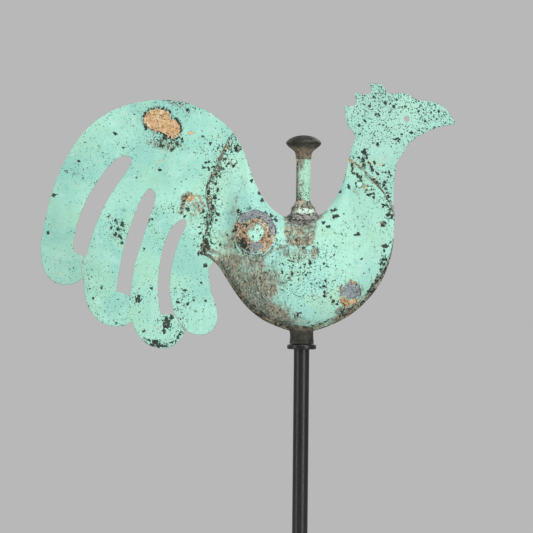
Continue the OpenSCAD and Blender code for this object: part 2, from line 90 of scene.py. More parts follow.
# ------------------------------------------------------------------ outlines
# Rows are (x, z) before SCALE; each list is the stations of one smooth curve.
BACK = [[-72, 217], [-65.5, 206.5], [-59.5, 193], [-53.5, 176.5], [-47, 161],
        [-38.5, 147], [-27, 135.5], [-12, 129.3], [5, 129], [18, 133.5], [27.5, 142.5],
        [34.5, 153], [40, 165], [42.8, 173.5], [45, 182], [46.5, 190]]
KEEL = [[-103.5, 91.5], [-95.5, 88.2], [-85, 77.5], [-72.5, 58], [-58.5, 39.7],
        [-43, 26.6], [-26.5, 18.6], [-9, 13.4], [9, 13.4], [27, 19], [45, 27.8],
        [62, 41], [77.5, 59.5], [87.5, 80], [93, 103], [94.3, 132]]
# How far the body bulges at each back/keel station, 0 to 1.
FULLNESS = np.array([0, 0, 0.09, 0.42, 0.67, 0.84, 0.95, 1, 1, 0.98, 0.92, 0.81, 0.62, 0.31,
                     0, 0], float)
LAST = len(BACK) - 1
TAIL_SEAM = [[-72, 217], [-76.5, 210], [-80, 203], [-83, 195.5], [-86.5, 187],
             [-91, 178], [-95.5, 170.5], [-98.3, 163], [-99.2, 155], [-98.8, 148], [-97, 141],
             [-94.8, 134.5], [-94.9, 128.5], [-97, 121.5], [-99.3, 113.5], [-101.2, 105.5],
             [-102.7, 98], [-103.5, 91.5]]
NECK_SEAM = [[46.5, 190], [51, 186.8], [56, 184.7], [60.2, 181.5], [64, 177.3],
             [68, 172.6], [72, 168.3], [76, 164.2], [80, 160], [83.6, 155.2], [86.8, 150],
             [90, 144], [92.6, 138], [94.3, 132]]
# Tail: the top edge, then the tips from the rear forward.
TAIL_TOP = [[-72, 217], [-80, 225.2], [-90, 233.3], [-100, 239.6], [-111, 244.3],
            [-123, 248], [-136, 250], [-150, 250.2], [-162, 249.3], [-174, 247],
            [-186, 243.6], [-198, 238.5], [-208, 232.6], [-218, 225.2], [-227, 215.8],
            [-235, 205.2], [-243, 192.5], [-250, 178.2], [-255.5, 163.5], [-260, 149.5],
            [-264, 133], [-267.2, 117], [-269.5, 101], [-269.3, 88], [-267, 76.5],
            [-261.5, 66.5], [-253, 60.4], [-243.5, 58.7], [-234, 60.6], [-225.4, 66.4]]
TIP2 = [[-225.4, 66.4], [-225, 56], [-223.4, 45], [-219.5, 34.8], [-213, 26],
        [-205, 19.8], [-196, 16.9], [-187, 16.5], [-180, 18.6], [-174.8, 21.8]]
TIP3 = [[-174.8, 21.8], [-171.5, 13.5], [-166, 5], [-159, -1], [-151, -4.7],
        [-142.5, -5.5], [-134, -3.6], [-127, 1.6], [-122.4, 7.6], [-120.5, 13.6]]
TIP4 = [[-120.5, 13.6], [-113.5, 9.9], [-106, 8.7], [-99, 9.4], [-92.5, 13.2],
        [-88.4, 20], [-86.9, 28], [-88, 36.6], [-91.2, 45.8], [-94.2, 55.5],
        [-95.5, 65], [-96, 74], [-94.6, 80.6], [-90, 83.9]]
# Slots between the feathers: long sides and top, then the short lower end.
SLOT1 = [[-235.6, 93.2], [-235.8, 101], [-234.4, 111.5], [-232, 122], [-228.6, 133],
         [-223.8, 144.5], [-217.8, 156], [-211, 167], [-203.8, 176.8], [-197, 184.8],
         [-190.5, 190], [-184, 192.4], [-178.7, 191.2], [-177.2, 187], [-179.6, 180],
         [-184.5, 172.4], [-190.5, 164], [-196.5, 155.4], [-202, 145.8], [-206.8, 136],
         [-210.9, 126.6], [-214.4, 117.6], [-217.4, 109], [-220.2, 98.5], [-224.6, 85.4]]
SLOT1_END = [[-224.6, 85.4], [-226.4, 88.4], [-229.6, 90.7], [-235.6, 93.2]]
SLOT2 = [[-191.4, 52.8], [-190.3, 63], [-188.4, 75], [-186.2, 87], [-183.8, 99],
         [-180.8, 110], [-177.2, 120.5], [-173.6, 131], [-169.6, 141], [-165, 150.4],
         [-160.6, 156.3], [-156.2, 157.9], [-153, 154.4], [-152.6, 147.6], [-154.8, 138.8],
         [-158, 129], [-161.3, 118.5], [-164.6, 107.5], [-168, 97], [-171.2, 86.5],
         [-173.8, 75], [-175.7, 62], [-177, 47]]
SLOT2_END = [[-177, 47], [-179.4, 49.2], [-184, 51.2], [-191.4, 52.8]]
SLOT3 = [[-145.4, 29.1], [-147.3, 40], [-148.5, 51], [-148.5, 62], [-147.8, 73],
         [-146.5, 84], [-144.5, 94.5], [-141.6, 104], [-138.3, 112.4], [-134, 119.6],
         [-128.8, 125], [-124, 127.4], [-120.8, 126.4], [-120.6, 121], [-123.6, 114],
         [-127, 106], [-130, 98], [-132.7, 88], [-135, 76], [-136.4, 64], [-136.2, 53],
         [-134.6, 43], [-130.9, 28.8]]
SLOT3_END = [[-130.9, 28.8], [-137, 29.8], [-145.4, 29.1]]
# Saw cuts from the outline into slots 1 and 3, and the soldered joint below slot 2.
KERF1 = [[-225.3, 66.0], [-227.9, 73.5], [-227.4, 80], [-224.8, 85.8]]
KERF3 = [[-120.4, 13.7], [-124.6, 18.6], [-127.8, 24.4], [-130.8, 29.0]]
TIPS_JOINT = [[-176.9, 46.6], [-177.3, 38], [-176.8, 31], [-174.9, 22.4]]
# Head: nape upward, comb forward, beak, then jaw and throat downward.
NAPE = [[46.5, 190], [48.2, 198], [50.2, 206], [53.2, 213.2], [51.6, 218],
        [47, 223.5], [43.7, 230], [42.3, 238], [41.8, 246.8]]
COMB = [[[41.8, 246.8], [45.6, 245.6], [50, 246.4], [53.8, 247.4]],
        [[53.8, 247.4], [53.6, 252], [52.6, 256], [51.8, 259.6]],
        [[51.8, 259.6], [57, 259], [63, 258.3], [68.4, 259.2]],
        [[68.4, 259.2], [68.8, 263.5], [67.6, 270.4]],
        [[67.6, 270.4], [72.5, 269.4], [78, 269.2], [81.4, 267.6], [83.6, 263.4], [85.8, 259.4]],
        [[85.8, 259.4], [92, 259.1], [99, 259.8], [105.5, 259.3], [110.4, 256.6], [116.6, 252.8]]]
BEAK = [[116.6, 252.8], [124, 252.2], [131.5, 251], [139, 248.7], [145.6, 244.2],
        [150.4, 238.8], [154.3, 233], [157.2, 228.4]]
JAW = [[157.2, 228.4], [149, 227.2], [140, 225.2], [131.5, 222.2], [123.5, 218.4],
       [116.5, 214.4], [110.6, 209.6], [106.5, 205.4], [103.6, 199.4], [99.8, 193.8],
       [96.5, 187.8], [94.8, 180.6], [94, 171], [93.4, 160], [93.1, 148], [94.2, 133]]
BREAST = [[39.5, 43], [38.2, 50], [39.6, 57], [44, 62], [50, 65.2], [56.5, 63], [60.2, 56],
          [59.6, 50], [56, 44.5], [50, 41], [44.5, 39.6]]
# x, z, radius
EYE = (105.9, 233.2, 2.9)
TAIL_PINS = [(-67.6, 201, 3.0), (-71.7, 187, 2.9), (-86.9, 144.7, 3.3), (-91.1, 105.5, 2.9)]
NECK_PINS = [(57.7, 165.2, 3.3), (67.8, 161.3, 2.3), (82.7, 125.2, 2.6)]
BREAST_PINS = [(74.2, 57.9, 1.35)]


# ------------------------------------------------------------------ curves
def catmull(before, start, end, after, t):
    return 0.5 * (2 * start + (end - before) * t
                  + (2 * before - 5 * start + 4 * end - after) * t * t
                  + (3 * start - before - 3 * end + after) * t ** 3)


def curve(points, stations):
    """Smooth curve through the points; station 0 is the first point, 1 the second."""
    points = np.asarray(points, float)
    stations = np.asarray(stations, float)
    i = np.clip(np.floor(stations).astype(int), 0, len(points) - 2)
    t = (stations - i)[..., None]
    padded = np.vstack([2 * points[0] - points[1], points, 2 * points[-1] - points[-2]])
    return catmull(padded[i], padded[i + 1], padded[i + 2], padded[i + 3], t)


def sample(points, start, stop, count):
    return curve(points, np.linspace(start, stop, count))


def left_of(points, stations):
    """Unit normals on the left of the curve."""
    last = len(points) - 1
    step = (curve(points, np.minimum(stations + 0.01, last))
            - curve(points, np.maximum(stations - 0.01, 0)))
    step = step / np.linalg.norm(step, axis=-1, keepdims=True)
    return np.stack([-step[..., 1], step[..., 0]], -1)


def even(points, spacing):
    """Resamples an open polyline to about the given spacing, keeping both ends."""
    points = np.asarray(points, float)
    length = np.r_[0, np.cumsum(np.linalg.norm(np.diff(points, axis=0), axis=1))]
    count = max(1, int(round(length[-1] / spacing)))
    t = np.linspace(0, length[-1], count + 1)
    return np.stack([np.interp(t, length, points[:, 0]), np.interp(t, length, points[:, 1])], -1)


def fine_curve(points, per_span):
    return sample(points, 0, len(points) - 1, (len(points) - 1) * per_span + 1)


def trace(points, spacing=1.1):
    return even(fine_curve(points, 24), spacing)


def cat(*parts):
    return np.vstack([np.asarray(part, float) for part in parts])


# ------------------------------------------------------------------ noise and masks
def lattice(ix, iy, iz, seed):
    """Random value 0 to 1 for each whole-number position."""
    with np.errstate(over="ignore"):
        bits = (ix.astype(np.uint32) * np.uint32(374761393)
                + iy.astype(np.uint32) * np.uint32(668265263)
                + iz.astype(np.uint32) * np.uint32(2147483647)
                + np.uint32(seed * 1013904223 & 0xFFFFFFFF))
        bits = (bits ^ (bits >> np.uint32(13))) * np.uint32(1274126177)
        bits = (bits ^ (bits >> np.uint32(16))) * np.uint32(2246822519)
        bits = bits ^ (bits >> np.uint32(15))
    return (bits & np.uint32(0xFFFFFF)).astype(float) / float(0xFFFFFF)


def value_noise(points, seed):
    cell = np.floor(points).astype(np.int64)
    f = points - cell
    f = f * f * f * (f * (f * 6 - 15) + 10)
    total = 0.0
    for i in (0, 1):
        for j in (0, 1):
            for k in (0, 1):
                weight = ((f[:, 0] if i else 1 - f[:, 0]) * (f[:, 1] if j else 1 - f[:, 1])
                          * (f[:, 2] if k else 1 - f[:, 2]))
                total = total + weight * lattice(cell[:, 0] + i, cell[:, 1] + j,
                                                 cell[:, 2] + k, seed)
    return total


def fbm(x, y, z, size, octaves, seed):
    """Smooth noise about -1 to 1 with features of the given size in mm."""
    points = np.stack([np.ravel(x), np.ravel(y) + 0 * np.ravel(x), np.ravel(z)], -1)
    points = points / size + 97.3
    total, weight, weights = 0.0, 1.0, 0.0
    for i in range(octaves):
        total = total + weight * (value_noise(points * 2 ** i, seed + 17 * i) * 2 - 1)
        weights += weight
        weight *= 0.5
    return (total / weights).reshape(np.shape(x)) * 1.6


def ramp(value, zero_at, one_at):
    """Smooth step from 0 to 1; zero_at may be the larger of the two."""
    t = np.clip((np.asarray(value, float) - zero_at) / (one_at - zero_at), 0, 1)
    return t * t * (3 - 2 * t)


def line_distance(x, z, line, closed=False):
    line = np.asarray(line, float)
    if closed:
        line = np.vstack([line, line[:1]])
    places = np.stack([np.ravel(x), np.ravel(z)], -1)
    best = np.full(len(places), 1e9)
    for start, end in zip(line[:-1], line[1:]):
        span = end - start
        t = np.clip(((places - start) @ span) / max(span @ span, 1e-12), 0, 1)
        gap = np.linalg.norm(places - (start + t[:, None] * span), axis=1)
        best = np.minimum(best, gap)
    return best.reshape(np.shape(x))


def inside(x, z, outline):
    outline = np.asarray(outline, float)
    flat_x, flat_z = np.ravel(x), np.ravel(z)
    odd = np.zeros(len(flat_x), bool)
    for (ax, az), (bx, bz) in zip(outline, np.roll(outline, -1, axis=0)):
        if az == bz:
            continue
        odd ^= (((az > flat_z) != (bz > flat_z))
                & (flat_x < (bx - ax) * (flat_z - az) / (bz - az) + ax))
    return odd.reshape(np.shape(x))


def area(x, z, outline, soft):
    """1 inside the outline, 0 outside, fading over `soft` mm either side of it."""
    gap = line_distance(x, z, outline, True)
    return ramp(np.where(inside(x, z, outline), gap, -gap), -soft, soft)


def spot(x, z, at_x, at_z, half_x, half_z, turn=0, edge=0.35):
    """Soft-edged ellipse, turned by `turn` degrees."""
    cos, sin = math.cos(math.radians(turn)), math.sin(math.radians(turn))
    across = ((x - at_x) * cos + (z - at_z) * sin) / half_x
    up = (-(x - at_x) * sin + (z - at_z) * cos) / half_z
    return 1 - ramp(np.hypot(across, up), 1 - edge, 1 + edge)


def crust(x, z, at_x, at_z, half_x, half_z):
    """One crust spot: a small one is solid, a larger one is left open enough to break up."""
    radius = math.sqrt(half_x * half_z)
    return (spot(x, z, at_x, at_z, half_x * 1.12, half_z * 1.12, 0, 0.5)
            * (0.80 + 0.16 * min(1.0, max(0.0, (2.3 - radius) / 0.9))))


# ------------------------------------------------------------------ the raised body
def keel_inner(along):
    """Inner edge of the flat rim; `along` runs 0 to 1 from tail to neck."""
    stations = along * LAST
    width = 3.4 / SCALE * np.where(stations > 12.5,
                                   np.maximum(0.35, 1 - 0.55 * (stations - 12.5)), 1.0)
    width = width * np.minimum(1, np.minimum(60 * along, 60 * (1 - along)))
    return curve(KEEL, stations) + left_of(KEEL, stations) * width[..., None]


def fullness(along):
    stations = along * LAST
    i = np.clip(np.floor(stations).astype(int), 0, LAST - 1)
    return np.maximum(0, catmull(FULLNESS[np.maximum(i - 1, 0)], FULLNESS[i], FULLNESS[i + 1],
                                 FULLNESS[np.minimum(i + 2, LAST)], stations - i))


def plan(along, across):
    """Outline position of the skin; `across` runs 0 at the back to 1 at the keel rim."""
    back, keel = curve(BACK, along * LAST), keel_inner(along)
    down = across[..., None]
    place = back + (keel - back) * down
    # near either end, bend the cross lines to follow that end's seam
    for weight, seam, end in ((np.maximum(0, 1 - along / 0.3) ** 2, TAIL_SEAM, 0),
                              (np.maximum(0, 1 - (1 - along) / 0.3) ** 2, NECK_SEAM, -1)):
        top, bottom = np.array(BACK[end], float), np.array(KEEL[end], float)
        bend = curve(seam, across * (len(seam) - 1)) - (top + (bottom - top) * down)
        place = place + weight[..., None] * bend
    return place


def skin(along, across):
    place = plan(along, across) * SCALE
    roundness = np.maximum(0, 1 - np.abs(2 * across - 1) ** 2.3) ** (1 / 2.1)
    y = -(HALF_SHEET + SHELL + (BODY_DEPTH - HALF_SHEET - SHELL) * fullness(along) * roundness)
    return np.stack([place[..., 0], y, place[..., 1]], -1)


def near_normals(grid):
    """Unit normals of a grid of points, turned toward -Y."""
    normals = np.cross(np.gradient(grid, axis=0), np.gradient(grid, axis=1))
    normals = normals / np.maximum(np.linalg.norm(normals, axis=-1, keepdims=True), 1e-9)
    return normals * np.where(normals[..., 1:2] > 0, -1, 1)


# ------------------------------------------------------------------ mesh helpers
def world(points, side=1):
    """Millimetres to metres in the CAD frame; side -1 mirrors through the middle plane."""
    points = np.asarray(points, float).copy()
    points[..., 1] *= side
    points[..., 2] += FLANGE_TOP
    return points / 1000.0


def make(name, verts, faces, material, node, attrs=None, sharp=60, flip=False,
         body="vane"):
    """Builds one object; `sharp` is the angle in degrees above which edges stay hard."""
    mesh = bpy.data.meshes.new(name)
    faces = [tuple(int(i) for i in face) for face in faces]
    if flip:
        faces = [face[::-1] for face in faces]
    mesh.from_pydata([tuple(map(float, vert)) for vert in verts], [], faces)
    edit = bmesh.new()
    edit.from_mesh(mesh)
    bmesh.ops.recalc_face_normals(edit, faces=edit.faces)
    edit.to_mesh(mesh)
    edit.free()
    mesh.shade_smooth()
    mesh.update()
    for key, values in (attrs or {}).items():
        layer = mesh.attributes.new(key, "FLOAT", "POINT")
        layer.data.foreach_set("value", np.asarray(values, np.float32).ravel())
    piece = bpy.data.objects.new(name, mesh)
    bpy.context.scene.collection.objects.link(piece)
    mesh.materials.append(material)
    mesh.set_sharp_from_angle(angle=math.radians(sharp))
    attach(piece, body)
    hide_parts(node)


def grid_faces(row_count, row_length, closed=True):
    """Quads between rows of points; `closed` joins each row's end to its start."""
    faces = []
    for i in range(row_count - 1):
        for j in range(row_length if closed else row_length - 1):
            this, following, k = i * row_length, (i + 1) * row_length, (j + 1) % row_length
            faces.append((this + j, following + j, following + k, this + k))
    return faces


def capped_run(lines):
    """Solid whose closed cross section is one point from each of the lines."""
    grid = np.stack(lines, 1)
    count, ring = grid.shape[:2]
    faces = grid_faces(count, ring)
    faces.append(tuple(range(ring - 1, -1, -1)))
    faces.append(tuple((count - 1) * ring + j for j in range(ring)))
    return grid.reshape(-1, 3), faces


def circle(segments):
    return np.linspace(0, 2 * math.pi, segments, endpoint=False)


def lathe(profile, segments, rough=None):
    """Turned solid from (radius, z) rows, with both ends on the axis or the profile closed."""
    angles = circle(segments)
    rows, faces, verts = [], [], []
    for radius, height in np.asarray(profile, float):
        base = len(verts)
        if radius < 1e-6:
            rows.append([base])
            verts.append((0.0, 0.0, height))
            continue
        radii, heights = np.full(segments, radius), np.full(segments, height)
        if rough is not None:
            radii, heights = rough(radii, heights, angles)
        for angle, r, z in zip(angles, radii, heights):
            verts.append((r * math.cos(angle), r * math.sin(angle), z))
        rows.append(list(range(base, base + segments)))
    pairs = list(zip(rows[:-1], rows[1:]))
    if len(rows[0]) > 1:
        pairs.append((rows[-1], rows[0]))
    for low, high in pairs:
        for i in range(segments):
            j = (i + 1) % segments
            if len(low) == 1:
                faces.append((low[0], high[j], high[i]))
            elif len(high) == 1:
                faces.append((low[i], low[j], high[0]))
            else:
                faces.append((low[i], low[j], high[j], high[i]))
    return np.array(verts), faces


def smooth_profile(points, per_span):
    profile = fine_curve(points, per_span)
    profile[:, 0] = np.maximum(profile[:, 0], 0)
    return profile


def round_noise(radius, height, angle, size, octaves, seed):
    return fbm(radius * np.cos(angle), radius * np.sin(angle), height, size, octaves, seed)


# ------------------------------------------------------------------ materials
def linear(colour):
    """sRGB 0-255 tuple to linear; sockets pass through."""
    if not isinstance(colour, tuple):
        return colour
    return tuple(c / 255 / 12.92 if c / 255 <= 0.04045 else ((c / 255 + 0.055) / 1.055) ** 2.4
                 for c in colour)


class Shader:
    """A node material; `coords` is the object position in mm."""

    def __init__(self, name):
        self.material = bpy.data.materials.new(name)
        self.material.use_nodes = True
        self.tree = self.material.node_tree
        self.tree.nodes.clear()
        self.output = self.tree.nodes.new("ShaderNodeOutputMaterial")
        position = self.node("ShaderNodeTexCoord").outputs["Object"]
        self.coords = self.vector("MULTIPLY", position, (1000, 1000, 1000))

    def node(self, kind, **settings):
        node = self.tree.nodes.new(kind)
        for key, value in settings.items():
            setattr(node, key, value)
        return node

    def put(self, socket, value):
        if isinstance(value, bpy.types.NodeSocket):
            self.tree.links.new(value, socket)
        elif isinstance(value, tuple) and len(value) == 3 and socket.type == "RGBA":
            socket.default_value = (*value, 1)
        else:
            socket.default_value = value

    def fill(self, node, inputs):
        for key, value in inputs.items():
            self.put(node.inputs[key], value)
        return node

    def vector(self, operation, first, second):
        node = self.node("ShaderNodeVectorMath", operation=operation)
        return self.fill(node, {0: first, 1: second}).outputs[0]

    def math(self, operation, first, second, third=0.0):
        node = self.node("ShaderNodeMath", operation=operation)
        return self.fill(node, {0: first, 1: second, 2: third}).outputs[0]

    def add(self, first, second):
        return self.math("ADD", first, second)

    def sub(self, first, second):
        return self.math("SUBTRACT", first, second)

    def mul(self, first, second):
        return self.math("MULTIPLY", first, second)

    def larger(self, first, second):
        return self.math("MAXIMUM", first, second)

    def step(self, value, low, high, at_low=0.0, at_high=1.0):
        node = self.node("ShaderNodeMapRange", interpolation_type="SMOOTHSTEP")
        return self.fill(node, {"Value": value, "From Min": low, "From Max": high,
                                "To Min": at_low, "To Max": at_high}).outputs[0]

    def noise(self, size, detail=3.0, rough=0.5, warp=0.0, shift=0.0, stretch=None):
        """Noise with features of `size` mm; `shift` moves it, `stretch` scales its axes."""
        coords = self.coords
        if stretch is not None:
            coords = self.vector("MULTIPLY", coords, stretch)
        if shift:
            coords = self.vector("ADD", coords, (shift * 17.3, shift * 31.7, shift * 11.9))
        node = self.node("ShaderNodeTexNoise")
        return self.fill(node, {"Vector": coords, "Scale": 1.0 / size, "Detail": detail,
                                "Roughness": rough, "Distortion": warp}).outputs[0]

    def attr(self, name):
        return self.node("ShaderNodeAttribute", attribute_name=name).outputs["Fac"]

    def mix(self, factor, under, over):
        node = self.node("ShaderNodeMix", data_type="RGBA", clamp_factor=True)
        return self.fill(node, {0: factor, 6: under, 7: over}).outputs[2]

    def blend(self, pattern, low, high, under, over):
        return self.mix(self.step(pattern, low, high), linear(under), linear(over))

    def layers(self, colour, *rows):
        """Lays colours over one another; rows are (pattern, low, high, strength, colour)."""
        for pattern, low, high, strength, over in rows:
            mask = self.mul(self.step(pattern, low, high), strength)
            colour = self.mix(mask, colour, linear(over))
        return colour

    def gain(self, colour, factor):
        node = self.node("ShaderNodeVectorMath", operation="SCALE")
        return self.fill(node, {0: colour, 3: factor}).outputs[0]

    def shade(self, colour, pattern, dark, bright, low=0.2, high=0.8):
        return self.gain(colour, self.step(pattern, low, high, dark, bright))

    def ragged(self, value, pattern, amount):
        """Adds a pattern, centred on zero, so that edges cut from the value break up."""
        return self.add(value, self.mul(self.sub(pattern, 0.5), amount))

    def weighted(self, *pairs):
        total, *others = (self.mul(pattern, weight) for pattern, weight in pairs)
        for term in others:
            total = self.add(total, term)
        return total

    def bump(self, height, depth_mm, strength):
        node = self.node("ShaderNodeBump")
        return self.fill(node, {"Height": height, "Distance": depth_mm / 1000.0,
                                "Strength": strength}).outputs[0]

    def finish(self, colour, rough, normal, metal=0.0, specular=0.4):
        node = self.node("ShaderNodeBsdfPrincipled")
        self.fill(node, {"Base Color": colour, "Roughness": rough, "Metallic": metal,
                         "Specular IOR Level": specular, "Normal": normal})
        self.tree.links.new(node.outputs[0], self.output.inputs[0])
        return self.material


# Bare metal colours: main, shade, pale, pits.
OCHRE = ((214, 177, 130), (186, 148, 106), (230, 207, 170), (84, 66, 46))
SCAR = ((206, 178, 146), (164, 134, 104), (226, 210, 188), (64, 52, 40))
BREAST_OCHRE = ((222, 184, 130), (190, 150, 104), (236, 212, 172), (84, 64, 44))


def patina(name, light=(176, 231, 211), blue=(158, 219, 207), green=(176, 222, 192), speck=1.0,
           metal=OCHRE, lead=((126, 131, 143), (158, 161, 165))):
    """Aged copper: mint patina with mottling, dark pits, crust, bare metal, lead and grime, with
    painted light and shade in places.
    Where each sits comes from the mesh's own fields; noise breaks every edge up."""
    mat = Shader(name)
    # noise: size mm, detail, roughness, warp, shift, stretch
    broad = mat.noise(58, 2.5, 0.5, 0.6)
    cloud = mat.noise(36, 2.5, 0.5, 0.4, 3)
    patch = mat.noise(13, 4, 0.55, 0.5, 5)
    mottle = mat.noise(7.5, 4, 0.6, 0.3, 9)
    small = mat.noise(3.1, 3.5, 0.6, 0.4, 13)
    smaller = mat.noise(2.2, 2.5, 0.55, 0.2, 21)
    fine = mat.noise(1.1, 3, 0.6, 0, 29)
    grain = mat.noise(0.42, 2, 0.6, 0, 37)
    rusty = mat.noise(9, 4.5, 0.62, 0.8, 41)
    streak = mat.noise(2.7, 3.5, 0.62, 0.5, 83, (1, 1, 0.48))
    thin_streak = mat.noise(1.5, 3, 0.6, 0.3, 85, (1, 1, 0.7))
    rust = mat.noise(3.0, 4, 0.65, 0.5, 47)
    pale_streak = mat.noise(1.7, 3, 0.6, 0.4, 49, (1, 1, 0.6))
    lead_fleck = mat.noise(1.7, 3, 0.6, 0.4, 51)
    metal_vein = mat.noise(3.4, 3, 0.6, 1.2, 57)
    metal_pit = mat.noise(1.5, 3, 0.65, 0.5, 61)
    pit_middle = mat.noise(2.15, 1.8, 0.55, 0.4, 53)
    pit_small = mat.noise(1.3, 1.4, 0.5, 0.2, 59)
    pit_large = mat.noise(3.6, 3.4, 0.62, 0.7, 67)
    blotch = mat.noise(2.5, 2.6, 0.56, 0.6, 71)

    colour = mat.blend(broad, 0.40, 0.62, light, blue)
    colour = mat.layers(colour,
                        (cloud, 0.50, 0.66, 0.55, green),
                        (patch, 0.52, 0.70, 0.32, (196, 238, 226)),
                        (mottle, 0.56, 0.70, 0.26, (128, 190, 172)),
                        (mottle, 0.40, 0.30, 0.30, (188, 206, 176)))
    brightness = 1.0
    # the tone field scales brightness: tone that differs at random, and in places painted light
    # and shade
    colour = mat.gain(colour, mat.mul(mat.attr("tone"), brightness))
    colour = mat.shade(colour, fine, dark=0.90, bright=1.09)
    colour = mat.shade(colour, grain, dark=0.955, bright=1.045)
    bloom = mat.add(rusty, mat.mul(mat.attr("bare"), 0.25))
    colour = mat.layers(colour, (bloom, 0.62, 0.72, 0.42, (197, 190, 160)))

    # grime: brown-grey film, which in places is painted shade
    stain_and_shade = mat.ragged(mat.attr("stain_and_shade"), mottle, 0.8)
    stain_and_shade = mat.ragged(stain_and_shade, small, 0.5)
    stain_and_shade = mat.ragged(stain_and_shade, streak, 0.9)
    grime_and_shade_film = mat.step(stain_and_shade, 0.14, 0.80)
    grime_and_shade_colour = mat.blend(patch, 0.38, 0.62, (124, 130, 116), (154, 144, 126))
    grime_and_shade_colour = mat.layers(
        grime_and_shade_colour,
        (streak, 0.52, 0.60, 0.80, (84, 74, 62)),
        (thin_streak, 0.56, 0.61, 0.9, (38, 36, 30)),
        (rust, 0.54, 0.60, mat.step(patch, 0.44, 0.60, 0.25, 0.85), (178, 150, 112)),
        (pale_streak, 0.56, 0.61, mat.step(mottle, 0.42, 0.56, 0.25, 0.8), (188, 208, 190)),
        (stain_and_shade, 0.85, 1.30, 0.68, (58, 55, 46)))
    colour = mat.mix(mat.mul(grime_and_shade_film, 0.95), colour, grime_and_shade_colour)

    lead_mask = mat.step(mat.ragged(mat.attr("lead"), small, 0.7), 0.40, 0.56)
    lead_colour = mat.layers(mat.blend(mottle, 0.38, 0.62, *lead),
                             (smaller, 0.52, 0.62, 0.55, (96, 90, 84)),
                             (lead_fleck, 0.58, 0.64, 0.6, (178, 176, 172)))
    colour = mat.mix(mat.mul(lead_mask, 0.92), colour, lead_colour)

    # bare metal with a dark broken rim
    bare = mat.ragged(mat.attr("bare"), small, 0.75)
    bare = mat.ragged(bare, mottle, 0.45)
    rim = mat.mul(mat.step(bare, 0.26, 0.40), mat.step(smaller, 0.44, 0.58))
    colour = mat.mix(mat.mul(rim, 0.62), colour, linear((104, 92, 70)))
    bare_mask = mat.step(bare, 0.42, 0.56)
    main, shadow, pale, pitted = metal
    bare_colour = mat.layers(mat.blend(small, 0.38, 0.60, main, shadow),
                             (mottle, 0.46, 0.60, 0.75, pale),
                             (metal_vein, 0.47, 0.40, 0.5, shadow),
                             (metal_pit, 0.57, 0.62, 0.8, pitted))
    colour = mat.mix(bare_mask, colour, bare_colour)

    # dark pits in three sizes, as dense as the mesh's "speck" says, and "dark" blots
    density = mat.attr("speck")

    def pits_of(pattern, per_speck, threshold, soft):
        low = mat.math("MULTIPLY_ADD", density, per_speck * speck, threshold)
        return low, mat.step(pattern, low, mat.add(low, soft))

    middle_low, middle_pits = pits_of(pit_middle, -0.150, 0.706, 0.02)
    _, small_pits = pits_of(pit_small, -0.140, 0.722, 0.02)
    _, large_pits = pits_of(pit_large, -0.140, 0.735, 0.015)
    dark = mat.ragged(mat.attr("dark"), blotch, 2.7)
    dark = mat.ragged(dark, mottle, 0.6)
    blots = mat.step(dark, 0.50, 0.56)
    pits = mat.larger(mat.larger(middle_pits, mat.mul(small_pits, 0.92)),
                      mat.larger(large_pits, blots))
    halo = mat.larger(mat.step(pit_middle, mat.sub(middle_low, 0.06), middle_low),
                      mat.step(dark, 0.30, 0.50))
    colour = mat.mix(mat.mul(halo, 0.20), colour, mat.gain(colour, 0.80))
    pit_colour = mat.blend(small, 0.40, 0.62, (16, 19, 15), (52, 54, 45))
    colour = mat.mix(mat.mul(pits, 0.96), colour, pit_colour)

    rough = mat.mix(lead_mask, (0.78, 0.78, 0.78), (0.55, 0.55, 0.55))
    height = mat.weighted((fine, 0.22), (small, 0.20), (grain, 0.07), (mottle, 0.30))
    height = mat.sub(height, mat.mul(pits, 0.34))
    height = mat.add(height, mat.mul(grime_and_shade_film, mat.mul(smaller, 0.5)))
    height = mat.sub(height, mat.mul(bare_mask, 0.25))
    normal = mat.bump(height, depth_mm=0.55, strength=0.75)
    return mat.finish(colour, rough, normal, specular=0.28)


def seam_solder():
    mat = Shader("seam_solder")
    # noise: size mm, detail, roughness, warp, shift
    patch = mat.noise(5, 4, 0.6, 0.5)
    small = mat.noise(2.0, 3.5, 0.6, 0.4, 5)
    fine = mat.noise(0.7, 3, 0.6, 0, 9)
    green = mat.noise(6.5, 3.5, 0.62, 0.5, 15)
    colour = mat.blend(patch, 0.38, 0.62, (136, 114, 80), (104, 100, 86))
    colour = mat.layers(colour, (small, 0.48, 0.57, 0.85, (42, 40, 34)),
                        (green, 0.50, 0.56, 0.85, (140, 186, 166)))
    colour = mat.shade(colour, fine, dark=0.82, bright=1.15)
    normal = mat.bump(mat.weighted((small, 0.6), (fine, 0.3)), depth_mm=0.5, strength=0.8)
    return mat.finish(colour, 0.66, normal, specular=0.35)


